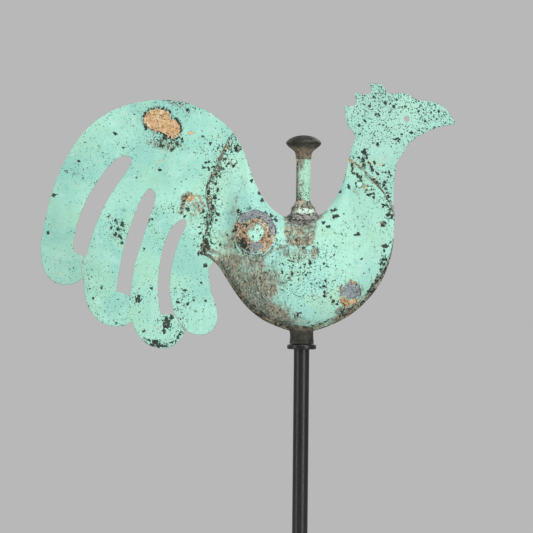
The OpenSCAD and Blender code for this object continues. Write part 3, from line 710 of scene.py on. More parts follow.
def dark_bronze():
    """Dark, handled bronze: brown-black with lighter rubbed edges, painted highlight streaks and
    traces of green.
    """
    mat = Shader("dark_bronze")
    # noise: size mm, detail, roughness, warp, shift, stretch
    patch = mat.noise(11, 4, 0.55, 0.6)
    small = mat.noise(3.0, 4, 0.6, 0.3, 5)
    fine = mat.noise(0.8, 3, 0.6, 0, 9)
    dull_green = mat.noise(4.4, 4, 0.65, 0.4, 19)
    dark_fleck = mat.noise(1.6, 3, 0.6, 0.3, 23)
    highlight_streak_noise = mat.noise(9, 4, 0.6, 0.3, 27, (0.35, 0.35, 2.6))
    brown_fleck = mat.noise(1.2, 3, 0.65, 0.4, 33)
    pit = mat.noise(1.0, 2.5, 0.6, 0.3, 35)
    colour = mat.blend(patch, 0.36, 0.64, (38, 37, 33), (60, 57, 50))
    colour = mat.layers(colour,
                        (small, 0.54, 0.66, 0.6, (84, 80, 68)),
                        (dull_green, 0.60, 0.70, 0.55, (84, 100, 84)),
                        (dark_fleck, 0.58, 0.64, 0.7, (26, 25, 22)))
    tan = mat.blend(small, 0.4, 0.6, (174, 158, 136), (128, 110, 90))
    colour = mat.mix(mat.mul(mat.attr("warm"), 0.9), colour, tan)
    green = mat.ragged(mat.attr("green"), patch, 0.8)
    colour = mat.layers(colour, (green, 0.35, 0.6, 0.9, (160, 200, 170)))
    # painted highlight: pale streaks stretched round the dome stand in for the light's reflection
    painted_highlight_streaks = mat.mul(mat.step(highlight_streak_noise, 0.55, 0.66), mat.step(small, 0.40, 0.60, 0.3, 1.0))
    colour = mat.mix(mat.mul(painted_highlight_streaks, 0.55), colour, linear((126, 124, 112)))
    colour = mat.layers(colour, (brown_fleck, 0.60, 0.66, 0.55, (118, 106, 84)),
                        (pit, 0.58, 0.63, 0.7, (22, 21, 18)))
    colour = mat.shade(colour, fine, dark=0.82, bright=1.16)
    edges = mat.node("ShaderNodeNewGeometry").outputs["Pointiness"]
    colour = mat.layers(colour, (edges, 0.51, 0.56, 0.35, (116, 110, 96)))
    rough = mat.step(small, 0.3, 0.7, 0.50, 0.68)
    normal = mat.bump(mat.weighted((small, 0.5), (fine, 0.25)), depth_mm=0.35, strength=0.5)
    return mat.finish(colour, rough, normal, metal=0.15, specular=0.26)


def black_paint():
    """Satin black paint on drawn rod: faint long draw lines, soft orange peel, dust."""
    mat = Shader("black_paint")
    # noise: size mm, detail, roughness, warp, shift, stretch
    peel = mat.noise(1.6, 2, 0.5, 0, 3)
    draw = mat.noise(0.5, 2, 0.5, 0, 7, (1, 1, 0.02))
    dust = mat.noise(0.9, 2, 0.6, 0, 11)
    colour = mat.blend(mat.noise(30, 3, 0.5), 0.35, 0.65, (8, 8, 9), (14, 14, 15))
    colour = mat.layers(colour, (dust, 0.70, 0.76, 0.25, (70, 70, 70)))
    rough = mat.step(mat.noise(9, 3, 0.5, 0, 17), 0.3, 0.7, 0.34, 0.40)
    normal = mat.bump(mat.weighted((peel, 0.5), (draw, 0.5)), depth_mm=0.02, strength=0.10)
    return mat.finish(colour, rough, normal, specular=0.52)


def turned_metal(name, colour_a, colour_b, rough):
    """Turned bearing metal: fine lathe rings and smears of old grease."""
    mat = Shader(name)
    # noise: size mm, detail, roughness, warp, shift, stretch
    rings = mat.noise(0.35, 2, 0.5, 0, 3, (0.05, 0.05, 1))
    grease = mat.noise(3, 4, 0.6, 0.5, 9)
    colour = mat.blend(mat.noise(5, 4, 0.6), 0.35, 0.65, colour_a, colour_b)
    colour = mat.layers(colour, (grease, 0.56, 0.66, 0.7, (52, 44, 34)))
    colour = mat.shade(colour, rings, dark=0.9, bright=1.08, low=0.3, high=0.7)
    roughness = mat.step(mat.noise(4, 3, 0.5, 0, 15), 0.3, 0.7, rough, rough + 0.2)
    normal = mat.bump(rings, depth_mm=0.05, strength=0.4)
    return mat.finish(colour, roughness, normal, metal=1.0, specular=0.5)


BODY_PATINA = patina("patina_body", blue=(164, 223, 208))
TAIL_PATINA = patina("patina_tail", light=(168, 223, 203), blue=(152, 211, 196),
                     green=(168, 220, 190))
HEAD_PATINA = patina("patina_head", light=(178, 230, 212), blue=(166, 220, 205),
                     green=(178, 224, 198), speck=1.05)
TUBE_PATINA = patina("patina_tube", light=(178, 227, 200), blue=(172, 224, 202),
                     green=(188, 217, 170))
REPAIR_PATINA = patina("patina_repairs", metal=SCAR)
BREAST_PATINA = patina("patina_breast_repair", metal=BREAST_OCHRE)
# the collar's pale patina colours give its painted highlight; grime and lead cover most of the
# rest
COLLAR_PATINA = patina("patina_collar", light=(204, 229, 214), blue=(192, 222, 206),
                       green=(204, 226, 206), metal=SCAR,
                       lead=((126, 122, 118), (154, 150, 146)))
SEAM_SOLDER = seam_solder()
BRONZE = dark_bronze()
PAINT = black_paint()
STEEL = turned_metal("spindle_steel", (150, 150, 152), (120, 121, 124), rough=0.30)
BUSH = turned_metal("bush_bronze", (176, 132, 78), (142, 104, 62), rough=0.32)

# ------------------------------------------------------------------ where the weathering, painted light and painted shade sit
# Crust spots, in outline mm: x, z, half width, half height.
TAIL_CRUST = [
    (-139, 21, 4.2, 6.5), (-150, 0.8, 5.2, 3.2), (-168.5, 45, 4.0, 4.0), (-257, 151, 2.3, 2.0),
    (-199.5, 130, 2.4, 2.0), (-186, 200.5, 1.2, 1.0), (-194, 215, 2.0, 1.7),
    (-226, 206, 1.5, 1.2), (-211, 203, 1.0, 0.9), (-100, 80, 2.0, 1.6), (-134, 26, 2.0, 3.2),
    (-142, 12, 2.2, 1.8), (-127, -1.5, 3.2, 1.6), (-143, -3.4, 6.0, 1.4), (-155, -2.4, 4.0, 1.6),
    (-128, 42, 2.2, 1.6), (-118, 41, 1.6, 2.2), (-112, 44, 1.6, 1.4), (-121, 54, 1.8, 1.5),
    (-155, 56, 1.5, 1.4), (-163, 12, 1.6, 1.2), (-244, 176, 1.6, 1.4), (-262, 112, 1.5, 1.5),
    (-186, 121, 2.2, 2.0), (-190, 117, 1.8, 2.2), (-193, 111, 1.9, 1.6), (-188, 109, 1.7, 2.0),
    (-197, 118, 1.4, 1.6), (-186, 103, 1.4, 1.6), (-193, 126, 1.5, 1.3), (-158, 134, 1.6, 2.4),
    (-160, 127, 1.7, 2.0), (-155, 127, 1.4, 1.4), (-148, 178, 1.5, 1.3), (-136, 199, 2.2, 2.0),
    (-130, 205, 1.8, 1.6), (-147, 203, 2.6, 1.6), (-125, 209, 1.8, 2.2), (-163, 221, 1.6, 2.6),
    (-104, 213, 1.6, 1.4), (-120, 240, 1.8, 1.4), (-96, 206, 1.5, 1.8), (-87, 204, 1.5, 1.5),
    (-103, 181, 2.0, 1.4), (-98, 180, 1.8, 1.8), (-93, 181.5, 1.7, 1.4), (-100.5, 186, 1.6, 1.2),
    (-97, 187.5, 1.4, 1.4), (-119, 138, 2.4, 2.4), (-122, 131, 1.5, 1.5), (-107, 120, 1.6, 1.4),
    (-106, 113, 1.4, 1.6), (-104, 101, 1.5, 1.5), (-103, 136, 1.6, 2.0), (-108, 92, 1.4, 1.2),
    (-215, 45, 1.4, 1.2), (-207, 56, 1.3, 1.3), (-231, 186, 1.4, 1.4), (-172, 170, 1.1, 1.1),
    (-140, 65, 1.3, 1.1), (-104, 62, 1.6, 1.2), (-99, 44, 1.3, 1.3), (-110, 33, 1.2, 1.2),
    (-163, 96, 1.2, 1.5)]
HEAD_CRUST = [
    (63, 197.5, 3.0, 4.6), (61.5, 190, 1.8, 3.4), (62.3, 184, 2.0, 3.2), (64.5, 193, 1.8, 1.6),
    (72, 180.5, 2.3, 1.8), (76, 176, 1.6, 2.0), (69.5, 184, 1.6, 1.6), (75.5, 237, 2.8, 2.2),
    (76.5, 207, 2.2, 2.2), (96.5, 211.5, 2.8, 2.2), (84, 168, 1.8, 1.5), (83, 165, 1.6, 1.4),
    (85, 161, 1.5, 1.6), (86, 157.5, 1.6, 1.3), (88, 153, 1.5, 1.6), (67, 188, 1.2, 1.2),
    (57, 193, 1.6, 1.0), (52, 192.5, 1.3, 1.2), (73, 188, 1.4, 1.4), (84.5, 178, 1.2, 1.0),
    (88.5, 178, 1.3, 1.6), (72.5, 170.5, 1.7, 1.2), (75, 167, 1.6, 2.2), (90, 175, 1.2, 1.2),
    (82, 185, 1.5, 1.1), (101, 217, 1.5, 1.5), (111, 219, 1.8, 1.5), (125, 231, 1.4, 1.2),
    (118, 241, 1.6, 1.2), (131, 240, 1.3, 1.3), (139, 241, 1.2, 1.2), (104, 246, 1.6, 1.4),
    (92, 246, 1.8, 1.4), (84, 250, 1.5, 1.5), (67, 246, 1.4, 1.4), (63, 231, 1.5, 1.4),
    (57, 226, 1.3, 1.5), (73, 255, 1.5, 1.2), (95, 253, 1.3, 1.3)]
BODY_CRUST = [
    (33, 138, 2.6, 1.7), (33, 132, 2.8, 2.0), (29, 137.5, 1.5, 1.5), (21, 125, 2.0, 1.6),
    (26, 121, 2.3, 2.1), (56.5, 114, 2.1, 2.0), (53, 112.5, 1.3, 1.3), (86, 102, 3.2, 2.2),
    (82.5, 102, 1.8, 1.5), (84.5, 97.5, 1.4, 1.6), (83, 143.5, 2.1, 1.9), (87.5, 143, 1.2, 1.3),
    (88, 134, 1.7, 2.0), (91.5, 132.5, 1.2, 1.8), (-53, 168, 1.6, 1.6), (-45, 155, 1.8, 1.8),
    (-42, 148, 1.9, 2.0), (-33, 132, 1.6, 2.2), (-28, 128, 2.0, 2.6), (-38, 134, 1.6, 2.4),
    (-57, 139, 3.2, 1.0), (-66, 136, 2.2, 2.6), (38, 157.5, 1.3, 1.5), (46.5, 163, 1.4, 1.8),
    (52, 176.5, 1.8, 1.4), (50, 186, 1.6, 2.0), (50.5, 182, 1.4, 1.6), (50, 179, 1.3, 1.4),
    (56, 173.5, 2.6, 1.8), (59, 172, 2.0, 1.8), (55.5, 176, 1.6, 1.2), (59.5, 169.5, 1.3, 1.6),
    (69, 154.5, 1.8, 1.5), (66.5, 154.5, 1.3, 1.2), (73, 156, 1.5, 1.3), (72.5, 152, 1.4, 1.2),
    (64.5, 158, 1.6, 1.4), (82, 126, 1.5, 1.5), (83, 84, 2.0, 2.2), (86, 88, 1.6, 2.0),
    (81, 77, 1.8, 2.2), (77, 71, 1.6, 2.4), (72, 62, 2.0, 1.8), (76, 66, 1.5, 1.8),
    (22, 59.5, 2.4, 1.3), (22.5, 54, 1.2, 1.5), (22.5, 50, 1.8, 1.2), (23, 66, 1.3, 1.4),
    (7, 85, 1.5, 1.8), (31, 45, 1.6, 2.2), (29, 48.5, 1.2, 1.2), (35, 42, 1.2, 1.4),
    (3, 71, 1.4, 1.2), (-11, 73, 1.3, 2.4), (-14, 67, 1.3, 1.6), (-21, 75, 1.2, 1.8),
    (18, 77, 1.4, 1.4), (60, 89, 1.6, 1.2), (63, 74, 1.3, 1.3), (-5, 30, 0.7, 3.4),
    (-1.5, 33, 1.7, 0.6), (-7.5, 29, 0.6, 2.0), (-85, 102, 1.6, 1.4), (-78, 112, 1.1, 1.1),
    (-88, 133, 2.4, 2.2), (-89, 127, 1.4, 1.6), (-93, 141, 1.8, 3.0), (-91, 150, 1.8, 3.2),
    (-88, 158, 1.6, 2.4), (-90, 165, 1.6, 2.2), (-86, 172, 1.6, 1.6), (-79, 183, 1.6, 1.4),
    (-76.5, 185.5, 1.6, 1.3), (-80.5, 190, 1.4, 1.4), (-72.5, 182, 1.8, 1.4),
    (-67.6, 201, 2.6, 2.6), (-72, 201, 1.0, 1.0), (-98, 100, 2.6, 3.4), (-101, 95.5, 2.2, 2.6),
    (-94, 104, 1.4, 1.4)]
# Outlines: the grime along the lower rear of the body, and the bare patch high on the tail.
GRIME = [(-80, 90), (-75, 98), (-64, 93), (-54, 91), (-44, 90), (-42, 74), (-40, 60), (-30, 45),
         (-14, 31), (0, 22), (0, 12), (-30, 16), (-60, 38), (-75, 60), (-88, 80)]
BARE_PATCH = [(-164.5, 232), (-161, 238.5), (-152, 241), (-145, 240.4), (-139.5, 236.5),
              (-137.5, 231), (-132.5, 230.5), (-128, 226), (-127.5, 219.5), (-129.5, 212.5),
              (-134, 210), (-138.5, 211.5), (-142.5, 215.5), (-148.5, 218), (-155, 219),
              (-161, 222.5), (-164.5, 227)]


class Weathering(dict):
    """Per-vertex fields read by the patina. stain, bare, lead and dark say how strong each mark
    is, speck how dense the pits are, and tone how bright the patina is; stain and tone also hold
    painted shade and painted light in places.
    A strength is a number, an array, or noise given as the arguments of `vary`.
    Marks follow the wavering `warped` position unless `straight` is set."""

    def __init__(self, x, z, y=0, speck=0.0, tone=1.0):
        start = {"stain_and_shade": 0.0, "bare": 0.0, "lead": 0.0, "dark": 0.0, "speck": speck,
                 "tone": tone}
        super().__init__({key: np.zeros(np.shape(x)) + value for key, value in start.items()})
        self.x, self.y, self.z = x, y, z

    def warp(self, amount, size, seed, y=0):
        """Shifts the warped position by up to about `amount` mm; returns it."""
        self.warped = (self.x + amount * fbm(self.x, y, self.z, size, 3, seed),
                       self.z + amount * fbm(self.x, y, self.z, size, 3, seed + 1))
        return self.warped

    def vary(self, base, swing, size, octaves, seed, level=None):
        """base plus swing times noise; `level` is the y at which the noise is read."""
        y = self.y if level is None else level
        return base + swing * fbm(self.x, y, self.z, size, octaves, seed)

    def strength(self, value):
        return self.vary(*value) if isinstance(value, tuple) else value

    def put(self, key, value):
        """Keeps the stronger of the mark there and the new one."""
        self[key] = np.maximum(self[key], value)

    def place(self, straight):
        return (self.x, self.z) if straight else self.warped

    def spots(self, *rows, straight=False):
        """Rows: field, x, z, half width, half height, turn, edge softness, strength."""
        for key, *shape, strength in rows:
            self.put(key, spot(*self.place(straight), *shape) * self.strength(strength))

    def lines(self, *rows, straight=False):
        """Rows: field, distance where it ends, distance where it is full, strength, points."""
        for key, ends, full, strength, points in rows:
            fade = ramp(line_distance(*self.place(straight), points), ends, full)
            self.put(key, fade * self.strength(strength))

    def areas(self, *rows):
        """Rows: field, edge softness, strength, outline."""
        for key, soft, strength, outline in rows:
            self.put(key, area(*self.warped, outline, soft) * self.strength(strength))

    def ramps(self, *rows):
        """Rows: field, value, where it is zero, where it is full, strength, optional mask."""
        for key, value, zero, full, strength, *masks in rows:
            mark = ramp(value, zero, full) * self.strength(strength)
            for mask in masks:
                mark = mark * mask
            self.put(key, mark)

    def spot_sum(self, *rows):
        """Rows: amount, x, z, half width, half height, turn, edge softness."""
        return sum(amount * spot(self.x, self.z, *shape) for amount, *shape in rows)


def body_near_marks(wear):
    x, z = wear.x, wear.z
    warp_x, warp_z = wear.warped
    wear.put("stain_and_shade", area(warp_x, warp_z, GRIME, 7)
             * (wear.vary(0.76, 0.22, 17, 3, 11) + 0.16 * ramp(z - 0.25 * x, 78, 50)))
    wear.areas(
        ("stain_and_shade", 4, 0.50, [(-62, 93), (-54, 92), (-41, 95), (-35, 84), (-34, 62), (-22, 46),
                            (-2, 34), (8, 24), (0, 16), (-30, 40), (-60, 76)]),
        ("dark", 4, 0.26, [(-56, 92), (-42, 92), (-38, 80), (-38, 62), (-48, 58), (-56, 76)]),
        ("stain_and_shade", 3.0, (0.70, 0.22, 9, 3, 98),
         [(-19, 132), (15, 130), (15, 112), (12, 99), (-14, 98), (-18, 112)]),
        ("stain_and_shade", 5, (0.46, 0.40, 8, 3, 99),
         [(-25, 101), (14, 102), (20, 92), (8, 84), (-20, 82), (-27, 90)]),
        ("stain_and_shade", 3.5, (0.36, 0.34, 7, 3, 100),
         [(-34, 101), (-24, 100), (12, 99), (16, 93), (4, 87), (-22, 89), (-34, 94)]),
        ("stain_and_shade", 2.2, 1.0, [(-22, 136), (-12, 134), (6, 134), (24, 140), (21, 131),
                             (14, 125.5), (3, 122), (-8, 123), (-16, 127)]))
    wear.spots(
        ("stain_and_shade", -40, 56, 17, 27, -28, 0.7, 0.80),
        ("bare", -42, 56, 13, 22, -28, 0.8, (0.16, 0.20, 9, 3, 121, 4)),
        ("stain_and_shade", -20, 58, 28, 26, -24, 0.9, (0.18, 0.24, 11, 3, 122, 4)),
        ("stain_and_shade", -47, 80, 9, 20, 8, 0.4, 0.66),
        ("lead", -2, 124, 13, 3.5, 0, 0.35, 0.45),
        ("dark", -3, 108, 14, 18, 0, 0.4, 0.16),
        ("bare", -2, 108, 12, 16, 0, 0.5, 0.40),
        ("dark", 2, 84, 26, 22, 0, 0.7, 0.20),
        ("stain_and_shade", 45, 38, 15, 7, 40, 0.35, 0.62),
        ("dark", 43, 34, 8, 4.5, 38, 0.35, 0.66),
        ("stain_and_shade", 37, 52, 2.4, 13, 4, 0.35, 0.40),
        # painted shade: a darker smudge low in the crease at the left of the body's bulge
        ("stain_and_shade", -81, 101, 6.5, 17, 8, 0.4, (0.48, 0.2, 9, 3, 65, 1)),
        ("bare", 82.7, 124.0, 4.4, 4.4, 0, 0.35, 0.36),
        ("bare", -79, 107, 4, 6, 0, 0.35, 0.34))
    wear.lines(("dark", 4, 0.8, 0.42, [(-22, 134), (-10, 129), (4, 128.6), (14, 131.5),
                                       (24, 138)]), straight=True)
    wear.lines(
        # painted shade: a grey-brown band down the crease where the body's bulge begins
        ("stain_and_shade", 6.5, 0.5, wear.vary(0.38, 0.24, 14, 3, 91, 1) + 0.26 * ramp(z, 132, 108),
         [(-62, 168), (-67, 155), (-71, 140), (-73, 122), (-74, 104), (-75, 84)]),
        ("stain_and_shade", 6, 0.6, 0.72, [(-96, 98), (-88, 94), (-80, 88), (-76, 80)]),
        ("dark", 3.8, 0.8, (0.46, 0.46, 8, 3, 123, 6),
         [(85, 91), (80.5, 77), (75.5, 65), (70, 54)]),
        ("bare", 2.4, 0.3, 0.42, [(-72, 104), (-69, 96), (-64, 89), (-57, 86)]))
    # along the rear of the keel, and round the two repairs (1 at a repair's edge)
    keel = line_distance(warp_x, warp_z, sample(KEEL, 1.8, 7.2, 30))
    disc = np.hypot((warp_x + 49.3) / 21.4, (warp_z - 114.4) / 23.6)
    breast = np.hypot((warp_x - 49.4) / 10.9, (warp_z - 52) / 12.8)
    wear.ramps(
        ("stain_and_shade", keel, 15, 4, 1.16, ramp(x, 2, -8)),
        ("dark", np.abs(disc - 1.05), 0.11, 0.02, (0.40, 0.5, 6, 3, 71, 2)),
        ("bare", np.abs(disc - 1.02), 0.10, 0.02, (0.30, 0.4, 6, 3, 72, 2), ramp(x, -40, -60)),
        ("stain_and_shade", np.abs(disc - 1.08), 0.16, 0.03, 0.52, ramp(z, 112, 96)),
        ("stain_and_shade", breast, 1.62, 1.0, (0.34, 0.30, 8, 3, 75, 2)),
        ("bare", np.abs(breast - 1.10), 0.20, 0.04, (0.42, 0.4, 6, 3, 73, 2)),
        ("dark", np.abs(breast - 1.06), 0.13, 0.02, (0.40, 0.5, 5, 3, 74, 2)))
    for at_x, at_z, half_x, half_z in BODY_CRUST:
        wear.put("dark", crust(x, z, at_x, at_z, half_x, half_z))
        if -25 < at_x < 32 and 40 < at_z < 100:
            wear.spots(("stain_and_shade", at_x, at_z, half_x * 1.7, half_z * 1.7, 0, 0.6, 0.48))


def body_far_marks(wear):
    wear.ramps(("stain_and_shade", wear.z, 70, 24, (0.35, 0.3, 26, 3, 31, 9)))
    wear.spots(("stain_and_shade", 2, 114, 15, 13, 0, 0.35, 0.55),
               ("stain_and_shade", 30, 70, 26, 15, -30, 0.35, 0.34))
    rng = np.random.default_rng(8)
    for _ in range(70):
        at_x = rng.uniform(-95, 88)
        at_z = rng.uniform(26, 170)
        radius = rng.uniform(1.1, 2.6)
        wide = radius * rng.uniform(0.8, 1.5)
        turn = rng.uniform(0, 90)
        wear.spots(("dark", at_x, at_z, wide, radius, turn, 0.45, 0.9), straight=True)


def body_wear_and_shading(points, across, near):
    """`across` is 0 at the back, 1 at the keel crease and more on the rim."""
    x, z = points[..., 0] / SCALE, points[..., 2] / SCALE
    wear = Weathering(x, z)
    wear.warp(2.6, 13, 5, y=points[..., 1])
    if near:
        body_near_marks(wear)
    else:
        body_far_marks(wear)
    tail = line_distance(*wear.warped, sample(TAIL_SEAM, 0, len(TAIL_SEAM) - 1, 60))
    neck = line_distance(*wear.warped, sample(NECK_SEAM, 0, len(NECK_SEAM) - 1, 50))
    wear.ramps(
        ("stain_and_shade", tail, 11, 1.0, (0.26, 0.36, 9, 3, 12, 3), ramp(z, 218, 190)),
        ("stain_and_shade", tail, 2.6, 0.3, 0.62),
        ("dark", tail, 9.5, 1.5, (0.40, 0.48, 8, 3, 92, 3), ramp(z, 222, 200)),
        ("dark", tail, 3.0, 0.6, (0.50, 0.35, 6, 2, 89, 3), ramp(z, 205, 190)),
        ("bare", tail, 2.6, 0.4, (0.40, 0.3, 8, 2, 14, 4)),
        ("dark", neck, 5.0, 0.8, (0.17, 0.40, 7, 3, 93, 3)),
        ("stain_and_shade", neck, 3.0, 0.5, 0.50),
        # the crease beside the keel rim
        ("bare", np.abs(across - 1.02), 0.035, 0.006, (0.50, 0.34, 12, 2, 15, 5),
         ramp(z, 92, 66)),
        ("dark", np.abs(across - 0.985), 0.02, 0.004, (0.46, 0.3, 9, 2, 90, 5),
         ramp(z, 100, 70)),
        ("stain_and_shade", across, 0.93, 0.995, (0.50, 0.35, 10, 3, 16, 6), ramp(z, 112, 60)),
        ("dark", across, 0.90, 1.0, (0.34, 0.34, 9, 3, 64, 9), ramp(x, 12, -4), ramp(z, 70, 40)),
        ("dark", across, 0.94, 1.0, (0.26, 0.5, 9, 3, 95, 7), ramp(x, 40, 70), ramp(z, 100, 88)),
        # the rim, its outer edge, and the edge along the back
        ("stain_and_shade", across, 1.0, 1.02, (0.84, 0.34, 14, 3, 17, 7), ramp(z, 122, 96)),
        ("dark", across, 1.0, 1.02, (0.40, 0.4, 8, 3, 94, 7), ramp(x, 34, 52), ramp(z, 112, 98)),
        ("dark", across, 1.06, 1.10, (0.58, 0.34, 9, 2, 18, 8)),
        ("dark", across, 0.012, 0.001, (0.30, 0.34, 16, 2, 19, 8)))
    wear.spots(("bare", 62, 163, 8, 4, -35, 0.35, 0.44), ("bare", 55, 158, 5, 7, 0, 0.35, 0.36))
    for at_x, at_z, radius in TAIL_PINS + NECK_PINS:
        wear.spots(("bare", at_x, at_z, radius + 2.2, radius + 2.2, 0, 0.25, 0.30))
        gap = np.abs(np.hypot(x - at_x, z - at_z) - radius - 0.2)
        wear.ramps(("dark", gap, 1.5, 0.3, 0.56))
    density = (wear.vary(0.24, 0.20, 34, 2, 21, 2) + 0.42 * ramp(tail, 17, 3)
               + 0.34 * ramp(neck, 16, 3)
               + 0.45 * ramp(z + 0.25 * (x - 60), 70, 52) * ramp(x, 62, 76)
               + wear.spot_sum((0.26, 4, 80, 36, 34, 0, 0.6), (-0.10, 20, 38, 34, 14, 0, 0.6),
                               (0.22, 22, 92, 18, 9, -20, 0.5),
                               (-0.22, -72, 140, 12, 40, 0, 0.5),
                               (-0.16, 52, 142, 16, 16, 0, 0.5)))
    wear["speck"] = np.clip(density, 0, 1)
    # painted shade: a darker upright stripe down the crease where the body's bulge rises behind
    # the tail seam
    crease_shade = -0.135 if near else 0.0        # a darker upright stripe behind the tail seam
    # painted light: the patina brightens toward the lower belly, which faces down and gets less
    # light
    wear["tone"] = (wear.vary(0.93, 0.035, 45, 2, 23, 1) + 0.075 * ramp(z + 0.1 * x, 78, 30)
                    + wear.spot_sum((crease_shade, -74, 122, 6, 42, 2, 0.6),
                                    (-0.10, 56, 150, 22, 34, 30, 0.6))
                    + wear.vary(0, 0.02, 9, 3, 24, 1))
    return wear


def head_wear(x, z, near):
    wear = Weathering(x, z)
    wear.warp(2.8, 12, 41)
    neck = line_distance(*wear.warped, sample(NECK_SEAM, 0, len(NECK_SEAM) - 1, 50))
    wear.ramps(("stain_and_shade", neck, 2.4, 0.4, 0.50),
               ("bare", neck, 2.0, 0.4, 0.40),
               ("dark", neck, 6.0, 1.0, (0.18, 0.36, 7, 3, 96, 3)))
    wear.spots(("bare", 52, 188.5, 7, 1.8, -38, 0.35, 0.62),
               ("bare", 105, 222, 5, 5, 0, 0.35, 0.30))
    wear.lines(("dark", 1.6, 0.3, 0.5, [(66, 190), (70, 185), (73, 181), (77, 175)]),
               straight=True)
    density = (wear.vary(0.52, 0.14, 22, 2, 43, 2) + 0.12 * ramp(z, 200, 235)
               + wear.spot_sum((0.10, 128, 238, 22, 11, -15, 0.5),
                               (-0.26, 80, 195, 12, 14, 0, 0.6),
                               (0.08, 94, 238, 16, 14, 0, 0.6)))
    # no pits close to the eye
    clear = ramp(np.hypot(x - EYE[0], z - EYE[1]), 8.0, 4.6)
    wear["speck"] = np.clip(density, 0, 1) * (1 - clear)
    for row in (HEAD_CRUST if near else HEAD_CRUST[::3]):
        wear.put("dark", crust(x if near else x + 3, z, *row))
    wear["tone"] = (0.845 - 0.05 * ramp(z, 236, 250) * ramp(x, 102, 88)
                    + wear.vary(0, 0.03, 30, 2, 44, 1) + wear.vary(0, 0.025, 7, 3, 87, 1))
    return wear


def tail_near_marks(wear):
    # the large bare patch, with its own finer wavering edge
    own_x = wear.x + 1.2 * fbm(wear.x, 0, wear.z, 7, 3, 51)
    own_z = wear.z + 1.2 * fbm(wear.x, 0, wear.z, 7, 3, 52)
    wear.put("bare", area(own_x, own_z, BARE_PATCH, 2.2))
    edge = line_distance(own_x, own_z, BARE_PATCH, True)
    outside = ~inside(own_x, own_z, BARE_PATCH)
    wear.ramps(
        ("dark", edge, 4.6, 0.8,
         wear.vary(0.56, 0.3, 7, 2, 53) + 0.22 * ramp(wear.x, -160, -130), outside),
        ("dark", edge, 0.9, 0.2, 0.42),
        ("stain_and_shade", edge, 7, 1.0, 0.42, outside))
    wear.spots(
        ("dark", -143, 207, 20, 7, -10, 0.5, 0.40),
        ("bare", -150, 206, 16, 5, -12, 0.5, 0.30),
        ("dark", -128, 249, 15, 3.2, -4, 0.4, 0.50),
        ("stain_and_shade", -128, 248, 18, 5, -4, 0.5, 0.40),
        ("stain_and_shade", -143, 205, 22, 6, -8, 0.35, 0.42),
        ("bare", -114, 217, 3.4, 1.8, 0, 0.35, 0.62),
        ("stain_and_shade", -110, 143, 9, 9, 0, 0.4, 0.34),
        ("stain_and_shade", -118, 140, 6, 9, 0, 0.35, 0.34),
        ("bare", -88, 214, 3, 4, 0, 0.35, 0.36),
        ("stain_and_shade", -175, 232, 9, 8, 0, 0.35, 0.24))
    arc = [(-125, 134), (-124.5, 141), (-122, 148), (-117, 152.5)]
    wear.lines(
        ("bare", 2.0, 0.4, 0.66, [(-119.5, 143), (-116.5, 149.5), (-110, 152)]),
        ("stain_and_shade", 1.9, 0.3, 0.62, [(-114, 146), (-106, 139), (-104, 133)]),
        ("stain_and_shade", 1.9, 0.3, 0.62, [(-112, 143), (-106, 147), (-101, 143)]),
        ("stain_and_shade", 1.9, 0.3, 0.62, [(-120, 139), (-116, 134), (-111, 133)]),
        ("bare", 1.5, 0.3, 0.54, [(-117, 152), (-110, 153), (-105, 149)]),
        ("bare", 1.5, 0.3, 0.54, [(-114, 149), (-107, 144), (-101, 136)]),
        ("bare", 1.5, 0.3, 0.54, [(-113, 141), (-109, 134)]),
        ("dark", 2.4, 0.3, 0.60, [(-166, 6.5), (-148, -2.5), (-129, 3), (-121.8, 14.5)]),
        ("bare", 1.7, 0.3, 0.60, [(-121, 147), (-116, 152), (-108, 150.5), (-104, 146)]),
        ("bare", 1.8, 0.3, 0.62, [(-117, 147), (-111, 147.5)]),
        ("stain_and_shade", 5.0, 0.8, 0.74, arc),
        ("dark", 2.6, 0.3, 0.52, arc))


